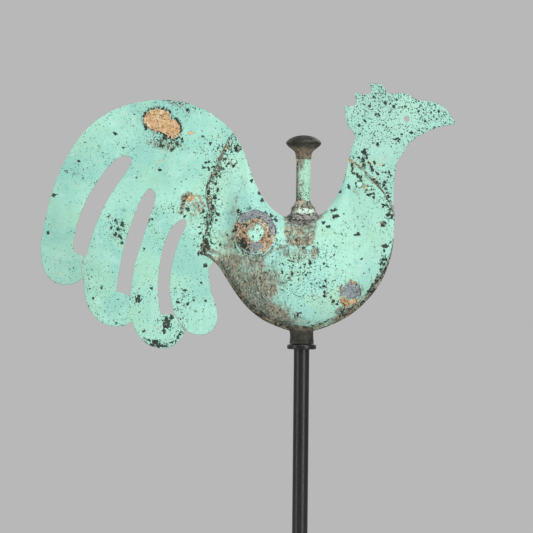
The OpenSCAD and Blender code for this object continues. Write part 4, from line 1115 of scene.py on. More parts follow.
def tail_wear_and_shading(x, z, near):
    wear = Weathering(x, z)
    wear.warp(2.8, 12, 41)
    seam = line_distance(*wear.warped, sample(TAIL_SEAM, 0, len(TAIL_SEAM) - 1, 60))
    wear.ramps(("stain_and_shade", seam, 2.6, 0.4, 0.50),
               ("bare", seam, 2.8, 0.3, (0.44, 0.3, 10, 2, 45, 4)),
               ("dark", seam, 6.0, 1.0, (0.30, 0.44, 8, 3, 97, 3), ramp(z, 222, 200)),
               ("dark", seam, 3.2, 0.5, (0.44, 0.35, 6, 2, 88, 3), ramp(z, 165, 150)))
    density = (wear.vary(0.16, 0.14, 30, 2, 46, 2)
               + 0.42 * ramp(seam, 14, 3) * ramp(z, 100, 130)
               + wear.spot_sum(
                   (0.55, -190, 115, 12, 14, 0, 0.6), (0.45, -158, 130, 8, 14, 0, 0.6),
                   (0.42, -141, 137, 14, 8, 0, 0.6), (0.30, -105, 125, 9, 22, 0, 0.6),
                   (0.38, -128, 42, 16, 16, 0, 0.6), (0.34, -142, 18, 20, 14, 0, 0.6),
                   (0.5, -155, -2, 30, 6, 0, 0.6), (0.52, -145, 208, 22, 12, 0, 0.6),
                   (0.30, -145, 238, 26, 10, 0, 0.6), (0.3, -165, 45, 14, 14, 0, 0.6),
                   (0.22, -158, 66, 12, 10, 0, 0.6), (0.22, -110, 240, 18, 8, 0, 0.6),
                   (0.22, -215, 48, 14, 12, 0, 0.6), (0.25, -100, 205, 14, 14, 0, 0.6),
                   (0.20, -104, 60, 9, 20, 0, 0.6), (0.25, -148, 100, 8, 14, 0, 0.6),
                   (-0.14, -135, 178, 28, 22, 0, 0.7), (-0.12, -247, 95, 18, 32, 0, 0.7)))
    wear["speck"] = np.clip(density, 0, 1)
    # the far side shows every third spot, moved a little
    for row in (TAIL_CRUST if near else TAIL_CRUST[1::3]):
        wear.put("dark", crust(x if near else x - 4, z if near else z + 5, *row))
    if near:
        tail_near_marks(wear)
    wear.lines(("dark", 1.2, 0.2, 0.44, sample(TIPS_JOINT, 0, 3, 12)), straight=True)
    # painted shade: the patina darkens toward the rear tips and toward the top, as the light
    # falls off away from the right
    wear["tone"] = (wear.vary(0.965, 0.035, 50, 2, 47, 1) - 0.085 * ramp(x, -205, -255)
                    - 0.03 * ramp(z, 215, 245)
                    + wear.spot_sum((-0.085, -240, 82, 34, 44, 0, 0.5),
                                    (-0.05, -134, 176, 20, 14, 20, 0.6),
                                    (-0.04, -232, 190, 22, 18, 0, 0.6))
                    + wear.vary(0, 0.025, 9, 3, 86, 1))
    return wear


# ------------------------------------------------------------------ shells
def dents(x, y, z, seed):
    """How far the sheet is pushed in, mm: slow sags, hammer marks and a few knocks."""
    depth = 0.0
    # depth, size, seed step
    for amount, size, step in ((0.55, 46, 0), (0.16, 13, 3), (0.05, 4.5, 7)):
        depth = depth + amount * (0.5 + 0.5 * fbm(x, y, z, size, 2, seed + step))
    rng = np.random.default_rng(seed)
    for _ in range(16):
        at_x, at_z = rng.uniform(-70, 75), rng.uniform(30, 125)
        radius, amount = rng.uniform(6, 15), rng.uniform(0.15, 0.5)
        high = radius * rng.uniform(0.7, 1.3)
        depth = depth + amount * np.exp(-(((x - at_x) / radius) ** 2 + ((z - at_z) / high) ** 2))
    return depth


ALONG, ACROSS = ((230, 110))
# Keel rim, inner to outer edge: share of its width, y shift, value of `across`.
RIM = ((0.2, -0.10, 1.02), (0.45, -0.02, 1.05), (0.7, 0.03, 1.08), (0.9, 0.0, 1.10),
       (0.985, 0.10, 1.12))


def body_shell(name, side, node, seed):
    """One half of the body; returns its outer surface, on the -Y side, for ray casts."""
    along = 0.0015 + 0.997 * np.linspace(0, 1, ALONG)
    across = 0.5 - 0.5 * np.cos(math.pi * np.linspace(0, 1, ACROSS))
    grid_along, grid_across = np.meshgrid(along, across, indexing="ij")
    outer = skin(grid_along, grid_across)
    amount = ramp(-outer[..., 1] - HALF_SHEET - SHELL, 0.2, 9)
    push = dents(outer[..., 0], outer[..., 1], outer[..., 2], seed) * amount
    outer = outer - near_normals(outer) * push[..., None]
    outer[..., 1] = np.minimum(outer[..., 1], -FOOT + 0.02)
    inner = outer - near_normals(outer) * SHELL
    inner[..., 1] = np.minimum(inner[..., 1], -HALF_SHEET - 0.01)

    edge = curve(KEEL, along * LAST) * SCALE
    crease = plan(along, np.ones_like(along)) * SCALE
    rim, rim_across = [], []

    def rim_row(place, y, across_value):
        rim.append(np.stack([place[:, 0], y + np.zeros(ALONG), place[:, 1]], -1)[:, None])
        rim_across.append(np.full((ALONG, 1), across_value))

    for share, shift, across_value in RIM:
        place = crease + (edge - crease) * share
        wave = 0.10 * fbm(place[:, 0], 0, place[:, 1], 9, 2, seed + 31)
        y = -FOOT + shift + (0 if share > 0.8 else wave)
        rim_row(place, np.minimum(y, -HALF_SHEET - 0.3), across_value)
    for y in (-(HALF_SHEET + SHELL * 0.6), -(HALF_SHEET + SHELL * 0.2), -HALF_SHEET - 0.01):
        rim_row(edge, y, 1.13)
    rim_row(crease + (edge - crease) * -0.12, -HALF_SHEET - 0.01, 1.0)

    foot = outer[:, :1].copy()
    foot[..., 1] = -HALF_SHEET - 0.01
    ring = np.concatenate([foot, outer] + rim + [inner[:, ::-1][:, 1:-1]], axis=1)
    ring_across = np.concatenate([np.zeros((ALONG, 1)), grid_across] + rim_across
                                 + [grid_across[:, ::-1][:, 1:-1]], axis=1)
    count = ring.shape[1]
    faces = grid_faces(ALONG, count)
    first_inner = 1 + ACROSS + len(rim)
    for base in (0, (ALONG - 1) * count):
        turn = -1 if base == 0 else 1
        for j in range(ACROSS - 1):
            inner_a = base + (first_inner + ACROSS - 2 - j if j > 0 else 0)
            inner_b = base + (first_inner + ACROSS - 3 - j if j < ACROSS - 2
                              else first_inner - 1)
            faces.append((base + 1 + j, base + 2 + j, inner_b, inner_a)[::turn])
        faces.append(tuple(base + ACROSS + i for i in range(len(rim) + 1))[::-turn])
    make(name, world(ring.reshape(-1, 3), side), faces, BODY_PATINA, node,
         body_wear_and_shading(ring, ring_across, near=side > 0), sharp=50, flip=side < 0)
    return BVHTree.FromPolygons([tuple(p) for p in outer.reshape(-1, 3)],
                                grid_faces(ALONG, ACROSS, closed=False))


NEAR_TREE = body_shell("right_shell", 1, "right_body_shell", seed=3)
FAR_TREE = body_shell("left_shell", -1, "left_body_shell", seed=61)


def on_body(x, z, tree=NEAR_TREE):
    """(y, normal) of the skin over (x, z) in mm, or None."""
    place, normal, _, _ = tree.ray_cast(Vector((x, -200, z)), Vector((0, 1, 0)))
    if place is None:
        return None
    return place.y, normal if normal.y < 0 else -normal


def top_of_body(x, y, default):
    """Height of the body's back under (x, y)."""
    tree = NEAR_TREE if y <= 0 else FAR_TREE
    place = tree.ray_cast(Vector((x, min(-abs(y), -1.6), 260)), Vector((0, 0, -1)))[0]
    return place.z if place is not None else default


# ------------------------------------------------------------------ sheets
def inset(loop, width):
    """Moves a closed loop to its left by the width."""
    loop = np.asarray(loop, float)
    normal = 0.0
    for step in (loop - np.roll(loop, 1, axis=0), np.roll(loop, -1, axis=0) - loop):
        length = np.maximum(np.linalg.norm(step, axis=1, keepdims=True), 1e-9)
        normal = normal + np.stack([-step[:, 1], step[:, 0]], -1) / length
    normal = normal / np.maximum(np.linalg.norm(normal, axis=1, keepdims=True), 0.6)
    return loop + normal * width


def tidy(loop, least=0.35):
    """Drops points closer together than `least` mm."""
    kept = [loop[0]]
    for point in loop[1:]:
        if np.hypot(*(np.asarray(point) - kept[-1])) > least:
            kept.append(point)
    if np.hypot(*(np.asarray(kept[0]) - kept[-1])) < least:
        kept.pop()
    return np.array(kept, float)


def within(x, z, loops):
    """True inside the first loop and outside the others."""
    keep = inside(x, z, loops[0])
    for loop in loops[1:]:
        keep &= ~inside(x, z, loop)
    return keep


def fill_points(loops, face_loops, step):
    """Jittered triangular grid over the face, kept clear of its edges."""
    low, high = loops[0].min(0), loops[0].max(0)
    rng = np.random.default_rng(4)
    rows = np.arange(low[1], high[1], step * 0.866)
    x, z = np.meshgrid(np.arange(low[0], high[0], step), rows)
    x = x + (np.arange(len(rows)) % 2)[:, None] * step / 2
    x = x + rng.uniform(-0.2, 0.2, x.shape) * step
    z = z + rng.uniform(-0.2, 0.2, z.shape) * step
    x, z = x.ravel(), z.ravel()
    keep = within(x, z, face_loops)
    for loop in face_loops:
        keep[keep] &= line_distance(x[keep], z[keep], loop, True) > step * 0.55
    return list(zip(x[keep], z[keep]))


# Rounded edge of a sheet: inset in mm, share of the half thickness.
EDGE_RINGS = [(0.30, 1.0), (0.10, 0.78), (0.0, 0.35)]


def sheet(name, loops, warp, node, material, wear_at, step):
    """A cut sheet with soft edges. loops[0] runs anticlockwise, the holes clockwise."""
    loops = [tidy(loop) for loop in loops]
    face_loops = [inset(loop, EDGE_RINGS[0][0]) for loop in loops]
    points = [tuple(point) for loop in face_loops for point in loop]
    edges, base = [], 0
    for loop in face_loops:
        edges += [(base + i, base + (i + 1) % len(loop)) for i in range(len(loop))]
        base += len(loop)
    edge_count = len(points)
    points += fill_points(loops, face_loops, step)
    flat, _, polygons, sources, _, _ = delaunay_2d_cdt([Vector(point) for point in points],
                                                       edges, [], 0, 1e-4)
    flat = np.array([tuple(vert) for vert in flat], float)
    tris = np.array([face for face in polygons if len(face) == 3])
    middle = flat[tris].mean(1)
    keep = within(middle[:, 0], middle[:, 1], face_loops)
    side_a, side_b = flat[tris[:, 1]] - flat[tris[:, 0]], flat[tris[:, 2]] - flat[tris[:, 0]]
    cross = side_a[:, 0] * side_b[:, 1] - side_a[:, 1] * side_b[:, 0]
    # a hair-thin triangle outside a straight run of the outline can still pass
    keep &= np.abs(cross) > 2e-3
    tris, cross = tris[keep], cross[keep]
    tris[cross < 0] = tris[cross < 0][:, ::-1]
    where = {k: i for i, source in enumerate(sources) for k in source}

    count = len(flat)
    verts = [np.column_stack([flat[:, 0], np.full(count, y), flat[:, 1]])
             for y in (-HALF_SHEET, HALF_SHEET)]
    # anticlockwise in x-z seen from -Y has its normal toward -Y
    faces = [tuple(tri) for tri in tris]
    faces += [tuple(int(i) + count for i in tri[::-1]) for tri in tris]
    base, start = 2 * count, 0
    for loop in loops:
        length = len(loop)
        near_edge = [where[start + i] for i in range(length)]
        chain = [near_edge]
        for side, rings in ((-1, EDGE_RINGS[1:]), (1, EDGE_RINGS[:0:-1])):
            for width, share in rings:
                place = inset(loop, width)
                y = np.full(length, side * HALF_SHEET * share)
                verts.append(np.column_stack([place[:, 0], y, place[:, 1]]))
                chain.append(list(range(base, base + length)))
                base += length
        chain.append([i + count for i in near_edge])
        for first, second in zip(chain[:-1], chain[1:]):
            for i in range(length):
                j = (i + 1) % length
                faces.append((first[j], first[i], second[i], second[j]))
        start += length

    verts = np.vstack(verts)
    x, y, z = verts.T.copy()
    near = wear_at(x / SCALE, z / SCALE, True)
    far = wear_at(x / SCALE, z / SCALE, False)
    wear = {key: np.where(y < 0, near[key], far[key]) for key in near}

    def strengthen(key, mask, value):
        wear[key] = np.where(mask, np.maximum(wear[key], value), wear[key])

    # dark, slightly dirty cut edges and the lips beside them
    cut = np.abs(y) < HALF_SHEET * 0.9
    strengthen("stain_and_shade", cut, 0.55)
    strengthen("bare", cut, 0.34 + 0.3 * fbm(x, y, z, 12, 2, 61))
    lip = np.zeros(len(verts), bool)
    for offset in (0, count):
        lip[[where[i] + offset for i in range(edge_count)]] = True
    strengthen("stain_and_shade", lip, 0.16 + 0.22 * fbm(x, 2, z, 14, 3, 62))
    verts[:, 1] += warp(x / SCALE, z / SCALE)
    used = sorted({i for face in faces for i in face})
    renumber = {k: i for i, k in enumerate(used)}
    faces = [tuple(renumber[i] for i in face) for face in faces]
    make(name, world(verts[used]), faces, material, node,
         {key: values[used] for key, values in wear.items()})


def kerf_sides(line, half_width=0.3):
    stations = np.linspace(0, len(line) - 1, 16)
    middle, normal = curve(line, stations), left_of(line, stations)
    return middle + normal * half_width, (middle - normal * half_width)[::-1]


def tail_warp(x, z):
    """How far the tail is bent in y, growing away from the body."""
    seam = np.array(TAIL_SEAM[::-1], float)
    bottom_x, bottom_z = KEEL[0]
    seam_x = np.where(z < bottom_z, bottom_x + (bottom_z - z) * 0.28,
                      np.interp(z, seam[:, 1], seam[:, 0]))
    waves = (0.55 * fbm(x, 0, z, 70, 2, 71) + 0.22 * fbm(x, 0, z, 24, 2, 72)
             + 0.05 * fbm(x, 0, z, 8, 2, 73))
    tips = ramp(z, 60, 10) * 0.5 * np.sin((x + 20) / 17.0)
    return (waves + tips) * ramp(seam_x - x, 3, 40)


def head_warp(x, z):
    waves = (0.30 * fbm(x, 0, z, 45, 2, 81) + 0.16 * fbm(x, 0, z, 17, 2, 82)
             + 0.04 * fbm(x, 0, z, 7, 2, 83))
    return waves * ramp((x - 46.5) * 0.707 + (z - 190) * 0.707, 4, 34)


STEP = 1.5
kerf1_left, kerf1_right = kerf_sides(KERF1)
kerf3_left, kerf3_right = kerf_sides(KERF3)
# each sheet has a tongue that reaches between the body shells
tail_tongue = cat(sample(KEEL, 1.52, 2.2, 6), [[-80, 90], [-79.5, 118], [-76, 150], [-66, 180]],
                  sample(BACK, 2.2, 0.05, 10))
tail_loop = cat(trace(TAIL_TOP)[:-1], kerf1_left, trace(SLOT1_END)[1:], trace(SLOT1)[1:-1],
                kerf1_right, trace(TIP2)[1:], trace(TIP3)[1:-1], kerf3_left,
                trace(SLOT3_END)[1:], trace(SLOT3)[1:-1], kerf3_right, trace(TIP4)[1:],
                even(tail_tongue[1:], 2.0))
slot2_loop = cat(trace(SLOT2)[:-1], trace(SLOT2_END)[:-1])
sheet("tail_panel", [tail_loop * SCALE, slot2_loop * SCALE], tail_warp, "tail_sheet",
      TAIL_PATINA, tail_wear_and_shading, STEP)

head_tongue = cat(sample(KEEL, 14.97, 14.2, 4), [[84, 116], [66, 140], [50, 162]],
                  sample(BACK, 13.1, 14.95, 10))
head_loop = cat(*[trace(part, 1.0)[:-1] for part in [NAPE] + COMB + [BEAK, JAW]],
                even(head_tongue, 1.6))
turn = np.linspace(0, -2 * math.pi, 28, endpoint=False)
eye_loop = np.stack([EYE[0] + EYE[2] * np.cos(turn) * (1 + 0.02 * np.sin(3 * turn)),
                     EYE[1] + EYE[2] * np.sin(turn)], -1)
# the head's outline is drawn clockwise, so it is turned round
sheet("head_panel", [head_loop[::-1] * SCALE, eye_loop * SCALE], head_warp, "head_sheet",
      HEAD_PATINA, head_wear, STEP * 0.8)


# ------------------------------------------------------------------ solder
def bead(name, line, width, height, lumps, side, node, material, seed):
    """A run of solder lying on the sheet, along a line of (x, z) in mm."""
    line = even(line, 0.8)
    count = len(line)
    step = np.gradient(line, axis=0)
    step = step / np.linalg.norm(step, axis=1, keepdims=True)
    normal = np.stack([-step[:, 1], step[:, 0]], -1)
    x, z = line.T
    t = np.linspace(0, 1, count)
    taper = np.maximum(np.minimum(1, np.minimum(t, 1 - t) * count / 5) ** 0.5, 0.2)
    half = width * (1 + lumps * fbm(x, 0, z, 7, 3, seed)) * taper * 0.5
    tall = height * (1 + lumps * 1.2 * fbm(x, 5, z, 5, 3, seed + 2)) * taper
    shift = 0.35 * width * 0.5 * fbm(x, 9, z, 9, 2, seed + 4)
    lines = []
    for angle in np.linspace(0, math.pi, 9):
        place = line + normal * (shift + half * math.cos(angle))[:, None]
        grit = 0.06 * fbm(place[:, 0], angle * 3, place[:, 1], 1.6, 2, seed + 9)
        y = HALF_SHEET + (tall + grit) * math.sin(angle)
        lines.append(np.stack([place[:, 0], -y, place[:, 1]], -1))
    for share in (0.5, -0.5):
        place = line + normal * (shift - half * share)[:, None]
        y = np.full(count, -HALF_SHEET + 0.25)
        lines.append(np.stack([place[:, 0], y, place[:, 1]], -1))
    verts, faces = capped_run(lines)
    wear = None
    if material is not SEAM_SOLDER:
        wear = Weathering(verts[:, 0], verts[:, 2], speck=0.3, tone=0.97)
        wear["dark"] = wear.vary(0.34, 0.3, 6, 2, seed + 11)
    make(name, world(verts, side), faces, material, node, wear, flip=side > 0)


def offset_line(points, width):
    stations = np.linspace(0.02 * (len(points) - 1), 0.985 * (len(points) - 1), 90)
    return (curve(points, stations) + left_of(points, stations) * width) * SCALE


# name, line, width, height, lumpiness, node, slot, material, seed
BEADS = (
    ("tail_seam_bead", offset_line(TAIL_SEAM, -0.5), 1.7, 0.95, 0.5,
     "tail_seam_solder", "seam_solder", SEAM_SOLDER, 101),
    ("neck_seam_bead", offset_line(NECK_SEAM, 0.4), 1.35, 0.85, 0.5,
     "neck_seam_solder", "seam_solder", SEAM_SOLDER, 111),
    ("tip_joint", sample(TIPS_JOINT, 0.1, 2.9, 20) * SCALE, 2.2, 0.25, 0.3,
     "feather_tip_solder", "tail_copper", TAIL_PATINA, 121))
SIDES = (("near", 1), ("far", -1))
for tag, side in SIDES:
    for name, line, width, height, lumps, node, slot, material, seed in BEADS:
        bead(f"{name}_{tag}", line, width, height, lumps, side, node, material,
             seed if side > 0 else seed + 50)


def seam_strip(name, outline, start, stop, edge, depth, node, seed):
    """Solder in the joint between the shells, from `edge` to `depth` mm left of the outline."""
    stations = np.linspace(start, stop, int(abs(stop - start) * 16))
    line, normal = curve(outline, stations) * SCALE, left_of(outline, stations)
    top = edge + 0.10 * fbm(line[:, 0], 0, line[:, 1], 4, 3, seed)
    rounded = top + np.sign(depth - edge) * 0.18
    deep = np.full(len(stations), depth)
    lines = []
    for offset, y in ((rounded, -0.9), (top, 0.0), (rounded, 0.9), (deep, 0.9), (deep, -0.9)):
        place = line + normal * offset[:, None]
        lines.append(np.stack([place[:, 0], np.full(len(stations), y * HALF_SHEET),
                               place[:, 1]], -1))
    verts, faces = capped_run(lines)
    make(name, world(verts), faces, SEAM_SOLDER, node, sharp=50,
         flip=depth < edge)


seam_strip("keel_solder_rear", KEEL, 2.24, 7.0, 0.05, 3.0, "keel_seam_solder", 201)
seam_strip("keel_solder_front", KEEL, 8.0, 14.16, 0.05, 3.0, "keel_seam_solder", 203)
seam_strip("back_solder_rear", BACK, 2.45, 7.3, -0.05, -2.0, "back_seam_solder", 205)
seam_strip("back_solder_front", BACK, 8.1, 12.6, -0.05, -2.0, "back_seam_solder", 207)

# ------------------------------------------------------------------ rivets
# share of the radius, share of the height
RIVET_PROFILE = [(1.0, 0.0), (1.03, 0.10), (0.98, 0.24), (0.84, 0.42), (0.66, 0.70),
                 (0.44, 0.92), (0.22, 1.02), (0.0, 1.05)]


def rivet(name, at_x, at_z, radius, node, seed, side, kind, foot):
    """A hand-set head: a low flange and a dome a little off centre."""
    off_x, off_z = np.random.default_rng(seed).uniform(-0.25, 0.25, 2)
    segments = 40
    tall = 1.22 if radius > 2 else 0.62
    rows, verts, faces = [], [], []
    for share, lift in RIVET_PROFILE:
        base = len(verts)
        if share == 0:
            rows.append([base])
            verts.append((off_x, -(foot + lift * tall), off_z))
            continue
        for j in range(segments):
            angle = 2 * math.pi * j / segments
            r = radius * share * (1 + 0.05 * math.sin(angle + seed)
                                  + 0.035 * math.sin(3 * angle + seed * 2.1))
            y = foot + lift * tall * (1 + 0.08 * math.cos(angle - seed))
            verts.append((r * math.cos(angle) + off_x * (1 - share), -y,
                          r * math.sin(angle) + off_z * (1 - share)))
        rows.append(list(range(base, base + segments)))
    sunk = list(range(len(verts), len(verts) + segments))
    verts += [(x * 0.96, -(foot - 0.5), z * 0.96) for x, y, z in verts[:segments]]
    for low, high in zip([sunk] + rows[:-1], rows):
        for i in range(segments):
            j = (i + 1) % segments
            faces.append((low[i], high[0], low[j]) if len(high) == 1
                         else (low[i], high[i], high[j], low[j]))
    faces.append(tuple(sunk))
    verts = np.array(verts) + np.array([at_x * SCALE, 0, at_z * SCALE])
    out = np.hypot(verts[:, 0] - at_x * SCALE, verts[:, 2] - at_z * SCALE) / radius
    wear = Weathering(verts[:, 0], verts[:, 2], speck=0.25, tone=1.03)
    if kind == "dark":
        wear["dark"] = 0.42 + 0.4 * ramp(out, 0.2, 1.0)
        wear["stain_and_shade"][:] = 0.7
    else:
        wear.ramps(("dark", out, 0.72, 1.0, 0.52),
                   ("stain_and_shade", out, 0.55, 1.0, 0.55),
                   ("bare", out, 0.8, 1.0, 0.40))
    make(name, world(verts, side), faces, REPAIR_PATINA, node, wear,
         sharp=45, flip=side > 0)


def rivet_foot(at_x, at_z, radius, side):
    """|y| of the highest skin under a rivet's flange."""
    tree = NEAR_TREE if side > 0 else FAR_TREE
    heights = []
    for i in range(8):
        hit = on_body(at_x * SCALE + radius * 0.7 * math.cos(i * 0.785),
                      at_z * SCALE + radius * 0.7 * math.sin(i * 0.785), tree)
        if hit:
            heights.append(-hit[0])
    return max(heights) - 0.15 if heights else FOOT


for pins, node, kinds in ((TAIL_PINS, "tail_rivets", ("dark", "light", "light", "light")),
                          (NECK_PINS, "neck_rivets", ("light", "light", "dark")),
                          (BREAST_PINS, "breast_rivet", ("dark",))):
    for i, pin in enumerate(pins):
        for tag, side in SIDES:
            foot = FOOT - 0.1 if node == "breast_rivet" else rivet_foot(*pin, side)
            seed = 5 + i * 3 + (0 if side > 0 else 40)
            rivet(f"{node}_{i + 1}_{tag}", *pin, node, seed, side, kinds[i], foot)


# ------------------------------------------------------------------ repairs on the near side
def skin_patch(name, at_x, at_z, outline, rings, thick, node, wear_at, hole=None,
               material=REPAIR_PATINA):
    """A lump that follows the near skin. outline(angle) and hole(angle) are its outer and
    inner radius; thick(share, angles, x, z) its height, share running 0 inside to 1 outside."""
    segments = 72
    angles = 2 * math.pi * np.arange(segments) / segments
    outer_r = np.array([outline(angle) for angle in angles])
    inner_r = np.array([hole(angle) for angle in angles]) if hole else np.zeros(segments)
    verts, rows, faces = [], [], []
    for i, share in enumerate(np.linspace(0, 1, rings)):
        count = 1 if hole is None and i == 0 else segments
        base, turned = len(verts), angles[:count]
        radius = (inner_r + (outer_r - inner_r) * share)[:count]
        xs = (at_x + radius * np.cos(turned)) * SCALE
        zs = (at_z + radius * np.sin(turned)) * SCALE
        heights = np.broadcast_to(thick(share, turned, xs, zs), (count,))
        for x, z, height in zip(xs, zs, heights):
            y, normal = on_body(x, z) or (-FOOT, Vector((0, -1, 0)))
            verts.append((x + normal.x * height, y + normal.y * height, z + normal.z * height))
        rows.append(list(range(base, len(verts))))
    for low, high in zip(rows[:-1], rows[1:]):
        for i in range(segments):
            j = (i + 1) % segments
            faces.append((low[0], high[j], high[i]) if len(low) == 1
                         else (low[i], low[j], high[j], high[i]))
    top = np.array(verts)
    # close it with an under-side just inside the skin
    count = len(top)
    under = top.copy()
    for vert in under:
        hit = on_body(vert[0], vert[2])
        vert[1] = max((hit[0] if hit else -FOOT) + 0.35, vert[1] + 0.05)
    faces += [tuple(i + count for i in face[::-1]) for face in faces]
    outer, inner = rows[-1], rows[0]
    for i in range(segments):
        j = (i + 1) % segments
        faces.append((outer[i], outer[j], outer[j] + count, outer[i] + count))
        if hole is not None:
            faces.append((inner[j], inner[i], inner[i] + count, inner[j] + count))
    verts = np.vstack([top, under])
    make(name, world(verts), faces, material, node,
         wear_at(verts[:, 0] / SCALE, verts[:, 2] / SCALE), flip=True)


def disc_wear(x, z):
    wear = Weathering(x, z, speck=0.35, tone=1.07)
    warp_x, warp_z = wear.warp(1.6, 5, 322)
    out = np.hypot(warp_x + 48.5, warp_z - 114)
    wear.ramps(("bare", out, 6.4, 9.0, 0.72),
               ("dark", np.abs(out - 9.0), 0.9, 0.2, 0.44, x > -50))
    wear.lines(("bare", 1.4, 0.2, 0.52, [(-47, 114), (-42, 119)]),
               ("bare", 1.4, 0.2, 0.52, [(-48, 115), (-46, 122)]),
               ("bare", 1.4, 0.2, 0.52, [(-45, 112), (-40.5, 113)]),
               ("bare", 1.4, 0.2, 0.52, [(-52, 119), (-49, 123)]))
    wear.spots(("stain_and_shade", -53, 119.5, 4.5, 2.6, 30, 0.35, 0.66))
    wear.spots(("dark", -47, 117.5, 1.2, 0.7, 0, 0.35, 0.9),
               ("dark", -51, 110.5, 1.0, 1.0, 0, 0.35, 0.9),
               ("dark", -43.5, 112, 0.9, 1.4, 0, 0.35, 0.8), straight=True)
    return wear


def ring_wear(x, z):
    wear = Weathering(x, z, speck=0.55)
    warp_x, warp_z = wear.warp(1.5, 7, 301)
    out = np.hypot(warp_x + 49.5, warp_z - 114)
    angle = np.degrees(np.arctan2(warp_z - 114, warp_x + 49.5))
    wear.put("bare", wear.vary(0.62, 0.16, 5, 2, 304))
    # grey crescent over the top and the +X side takes the place of bare metal
    crescent = ramp(angle, -16, 4) * ramp(angle, 146, 128) * ramp(out, 14.6, 16.0)
    wear["bare"] = wear["bare"] * (1 - crescent)
    wear["bare"] = wear["bare"] * (1 - 0.9 * spot(warp_x, warp_z, -48, 100.5, 7, 3.2, 4))
    low = ramp(angle, -160, -140) * ramp(angle, -62, -84) * ramp(out, 16, 18.5)
    wear["bare"] = wear["bare"] * (1 - 0.42 * low)
    wear.put("lead", crescent * 0.86)
    wear.put("lead", low * 0.50)
    wear.put("dark", np.where(np.abs(angle) > 132, wear.vary(0.26, 0.40, 5, 3, 303), 0))
    wear.put("stain_and_shade", wear.vary(0.55, 0.3, 6, 2, 305))
    rim = np.hypot((x + 49.3) / 21.4, (z - 114.4) / 23.6)
    wear.ramps(
        ("lead", angle, -70, -50, (0.40, 0.34, 6, 2, 306), ramp(angle, 10, -6)),
        ("dark", np.abs(out - 15.6), 1.2, 0.2, 0.56, angle > -20, angle < 150),
        ("dark", np.abs(rim - 0.99), 0.05, 0.01, 0.50),
        ("dark", np.abs(out - 10.6), 0.9, 0.2, 0.40),
        ("stain_and_shade", out, 19.5, 22, 0.5))
    # the black spot low on the -X side, and pits
    wear.spots(("lead", -48, 100.5, 7.5, 3.6, 4, 0.35, 0.8),
               ("dark", -60.8, 103, 3.6, 5.6, 24, 0.35, 0.95),
               ("dark", -57, 97.5, 3.0, 2.0, -30, 0.35, 0.66),
               ("dark", -67.5, 117, 1.6, 4.4, 0, 0.35, 0.66),
               ("dark", -61, 124, 2.2, 1.8, 0, 0.35, 0.62),
               ("dark", -60, 114.5, 1.3, 1.1, 0, 0.35, 0.95),
               ("dark", -64, 112.5, 1.6, 1.3, 0, 0.35, 0.8))
    wear.lines(("dark", 1.5, 0.3, 0.58, [(-53, 125), (-47, 124), (-42, 120), (-39, 114)]))
    return wear


def breast_wear(x, z):
    wear = Weathering(x, z, speck=0.5, tone=1.04)
    warp_x, warp_z = wear.warp(1.4, 6, 331)
    # height above the line where grey above meets bare metal below
    above = (warp_z - 48.6) + (warp_x - 49) * 0.10
    ragged = above + wear.vary(0, 3.4, 4, 3, 334, 5)
    rim = np.hypot((x - 49.4) / 10.9, (z - 52) / 12.8)
    wear.ramps(("lead", ragged, -2.4, 2.6, 0.88),
               ("bare", ragged, 2.4, -2.6, 0.74),
               ("bare", above, 14.0, 15.5, 0.5),
               ("dark", np.abs(above - 0.4), 1.2, 0.2, 0.16),
               ("dark", rim, 0.84, 0.98, (0.44, 0.3, 4, 3, 333)),
               ("bare", rim, 0.86, 0.98, 0.5, ramp(above, 2, 10)))
    wear.spots(("dark", 43, 36.5, 2.4, 2.0, 0, 0.35, 0.9),
               ("dark", 58, 56, 1.6, 2.4, 0, 0.35, 0.5),
               ("stain_and_shade", 40.5, 45, 3, 5, 0, 0.35, 0.5))
    return wear


def ring_outline(angle):
    base = 1 / math.hypot(math.cos(angle) / 21.4, math.sin(angle) / 23.6)
    return (base + 0.55 * math.sin(3 * angle + 0.6) + 0.45 * math.sin(5 * angle + 1.1)
            + 0.35 * math.sin(9 * angle))


def ring_hole(angle):
    return 9.6 + 0.35 * math.sin(3 * angle + 0.7) + 0.25 * math.sin(7 * angle)


def disc_outline(angle):
    return ring_hole(angle) - 0.12


def breast_outline(angle):
    outline = sample(BREAST + BREAST[:1], 0, len(BREAST), 140)
    x, z = outline[:, 0] - 49.4, outline[:, 1] - 52
    turn = (angle - np.unwrap(np.arctan2(z, x))) % (2 * math.pi)
    turn = np.minimum(turn, 2 * math.pi - turn)
    return float(np.hypot(z, x)[np.argmin(turn)]) * (1 + 0.02 * math.sin(5 * angle))


def ring_thick(share, angles, x, z):
    taper = min(1.0, share / 0.12) ** 0.5 * min(1.0, (1 - share) / 0.16) ** 0.6
    return 0.02 + taper * (0.58 + 0.24 * fbm(x, 0, z, 4.5, 3, 311)
                           + 0.14 * np.sin(angles * 2 - 1))


def disc_thick(share, angles, x, z):
    dome = 0.80 + 0.22 * (1 - share * share) + 0.10 * fbm(x, 0, z, 5.0, 3, 321)
    return dome * min(1.0, (1 - share) / 0.10 + 0.25)


def breast_thick(share, angles, x, z):
    taper = min(1.0, (1 - share) / 0.14) ** 0.6
    return 0.02 + taper * (0.42 + 0.16 * fbm(x, 0, z, 5.0, 3, 341))


skin_patch("round_repair_ring", -49.3, 114.4, ring_outline, 20, ring_thick,
           "round_patch_solder", ring_wear, hole=ring_hole)
skin_patch("round_repair_disc", -49.5, 114, disc_outline, 14, disc_thick,
           "round_patch", disc_wear)
skin_patch("breast_repair", 49.4, 52, breast_outline, 16, breast_thick,
           "breast_patch", breast_wear, material=BREAST_PATINA)


